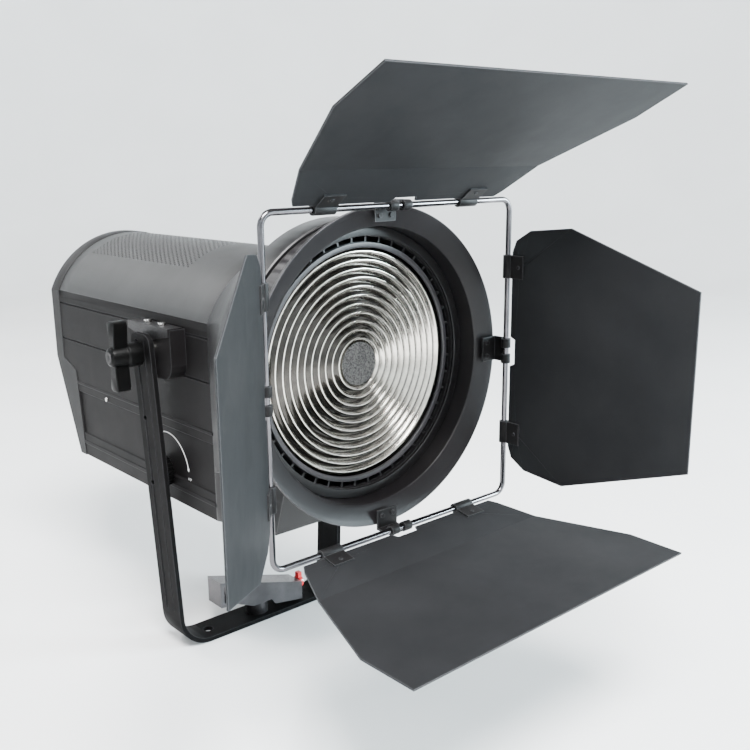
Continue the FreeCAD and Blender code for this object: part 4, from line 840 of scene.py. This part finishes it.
def make_tilt_grip(paints):
    """The tilt knob: a stepped hub with a domed cap and two flared arms."""
    low, high = extent("tilt_knob")
    end = extent("tilt_stud")[0].x
    hub = [(high.x, HUB_FLAT), (high.x, HUB_RADIUS), (GRIP_NEAR, HUB_RADIUS),
           (GRIP_NEAR - 1.5, 9.6), (low.x + 4, 9.0), (low.x + 1.2, 8.4), (end + 0.3, 6.0),
           (end, 3.0), (end, 0), (high.x, 0)]
    points, faces = lathe(softened(hub, HUB_SOFTNESS), HUB_STEPS)
    points = [(along, across, up) for across, along, up in points]
    reach = high.z
    side = [(5.2, 0.0), (5.0, 9.0), (5.6, 18.0), (7.0, reach - 4.0), (6.4, reach - 1.2),
            (4.6, reach)]
    for sign in (1, -1):
        outline = [(across, sign * up) for across, up in side]
        outline += [(-across, sign * up) for across, up in reversed(side)]
        first = len(points)
        count = len(outline)
        for plane, shrink in ARM_PLANES:
            narrower = 1 - shrink / ARM_HALF_WIDTH
            shorter = 1 - shrink / reach
            points += [(plane, across * narrower, up * shorter) for across, up in outline]
        last = first + (len(ARM_PLANES) - 1) * count
        for row in range(first, last, count):
            faces += strip(row, row + count, count)
        faces.append(tuple(range(first, first + count)))
        faces.append(tuple(reversed(range(last, last + count))))
    add_piece("tilt_grip", points, faces, [paints["black_plastic"]], "tilt_knob",
              ["tilt_knob"], sharp=GRIP_SHARP)


# ---------------------------------------------------------------- focus scale

SCALE_RADIUS = 36.5
SCALE_WIDTH = 1.0
SCALE_HEIGHT = 0.15
SCALE_STEPS = 60
SCALE_START = math.radians(14)
SCALE_END = math.radians(166)
# An arrowhead's reach along the arc, in radians, and half its width.
ARROW_TURN = 0.09
ARROW_HALF_WIDTH = 1.7
# The faces of a bar between two rows of four points, and of an arrowhead of six points.
BAR_SIDES = ((0, 1), (1, 3), (3, 2), (2, 0))
BAR_END = (0, 1, 3, 2)
ARROW_FACES = ((0, 2, 4), (1, 5, 3), (0, 1, 3, 2), (2, 3, 5, 4), (4, 5, 1, 0))
# The panel's flat face, inwards from its outermost ribs.
PANEL_FACE = 2.4
FIGURE_SIZE = 5.0
FIGURE_DROP = 3.5
# Each printed figure: its words, and its middle from the knob's, towards the back.
FIGURES = (("15°", -SCALE_RADIUS - 1), ("60°", SCALE_RADIUS + 5))


def make_focus_scale(paints):
    """The printed arc over the focus knob, with an arrowhead and a beam angle at each end."""
    low, high = extent("focus_knob")
    centre_y = (low.y + high.y) / 2
    centre_z = (low.z + high.z) / 2
    face = extent("side_panel_left")[0].x + PANEL_FACE

    def printed(turn, radius):
        """A place on the panel and the same place on top of the print."""
        return [(face - height, centre_y - radius * math.cos(turn),
                 centre_z + radius * math.sin(turn)) for height in (0.0, SCALE_HEIGHT)]

    points = []
    for step in range(SCALE_STEPS + 1):
        turn = SCALE_START + (SCALE_END - SCALE_START) * step / SCALE_STEPS
        for radius in (SCALE_RADIUS - SCALE_WIDTH / 2, SCALE_RADIUS + SCALE_WIDTH / 2):
            points += printed(turn, radius)
    faces = []
    rows = len(BAR_SIDES)
    for start in range(0, SCALE_STEPS * rows, rows):
        following = start + rows
        for p, q in BAR_SIDES:
            faces.append((start + p, start + q, following + q, following + p))
    for start in (0, SCALE_STEPS * rows):
        faces.append(tuple(start + corner for corner in BAR_END))
    for turn, way in ((SCALE_START, -1), (SCALE_END, 1)):
        start = len(points)
        points += printed(turn + way * ARROW_TURN, SCALE_RADIUS)
        points += printed(turn, SCALE_RADIUS - ARROW_HALF_WIDTH)
        points += printed(turn, SCALE_RADIUS + ARROW_HALF_WIDTH)
        for corners in ARROW_FACES:
            faces.append(tuple(start + corner for corner in corners))
    add_piece("focus_scale_arc", points, faces, [paints["white_print"]], "head")
    for text, along in FIGURES:
        place = head(face, centre_y + along, centre_z - FIGURE_DROP)
        add_print("focus_angle_" + text[:2], text, place, paints["white_print"])


def add_print(name, text, place, paint):
    """Printed figures on the left side panel, read from the left."""
    letters = bpy.data.curves.new(name, "FONT")
    letters.body = text
    letters.size = FIGURE_SIZE * MM
    letters.align_x = "CENTER"
    letters.extrude = SCALE_HEIGHT * MM
    letters.materials.append(paint)
    piece = bpy.data.objects.new(name, letters)
    bpy.context.collection.objects.link(piece)
    facing_left = Matrix(((0, 0, -1), (-1, 0, 0), (0, 1, 0))).to_4x4()
    piece.matrix_world = Matrix.Translation(place) @ facing_left
    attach(piece, "head")


# ---------------------------------------------------------------- carried-over CAD nodes

# Nodes that don't wear their own slot's paint.
LOOKS = {
    "yoke": "yoke_coat", "side_panel_left": "black_extrusion",
    "side_panel_right": "black_extrusion", "pivot_block_left": "black_extrusion",
    "pivot_block_right": "black_extrusion", "rear_bezel": "bezel_coat",
    "tilt_stop_left": "black_zinc", "tilt_stop_right": "black_zinc", "tilt_stud": "black_zinc",
}
# How far sharp edges are rounded, in millimetres.
USUAL_ROUNDING = 0.3
EDGE_ROUNDING = {
    "yoke": 0.8, "spigot_receiver": 1.6, "front_casting": 1.0, "pivot_block_left": 1.0,
    "pivot_block_right": 1.0, "rear_bezel": 0.8, "power_supply": 0.8, "focus_knob": 0.4,
    "fan_rotor": 0.2, "focus_rack": 0.1, "focus_pinion": 0.1, "leaf_top_clips": 0.25,
    "leaf_right_clips": 0.25, "leaf_bottom_clips": 0.25, "leaf_left_clips": 0.25,
}
WELD_DISTANCE = 0.00001
ROUNDING_STEPS = 2
SHARP_ANGLE = math.radians(32)


def round_edges(piece, width):
    """Weld the imported faces and round the sharp edges, so that they catch the light."""
    weld = piece.modifiers.new("weld", "WELD")
    weld.merge_threshold = WELD_DISTANCE
    bevel = piece.modifiers.new("edges", "BEVEL")
    bevel.width = width * MM
    bevel.segments = ROUNDING_STEPS
    bevel.limit_method = "ANGLE"
    bevel.angle_limit = SHARP_ANGLE
    bevel.harden_normals = True


def dress_cad_nodes(paints):
    for name, node in nodes.items():
        node.data.materials.clear()
        node.data.materials.append(paints[LOOKS.get(name, slots[name])])
        round_edges(node, EDGE_ROUNDING.get(name, USUAL_ROUNDING))


def main():
    add_camera()
    paints = make_materials()
    add_stage()
    add_lamps()
    dress_cad_nodes(paints)
    make_top_cover(paints)
    make_lens(paints)
    make_lens_rings(paints)
    make_door_ring(paints)
    make_rod_frame(paints)
    make_tilt_grip(paints)
    make_focus_scale(paints)


main()
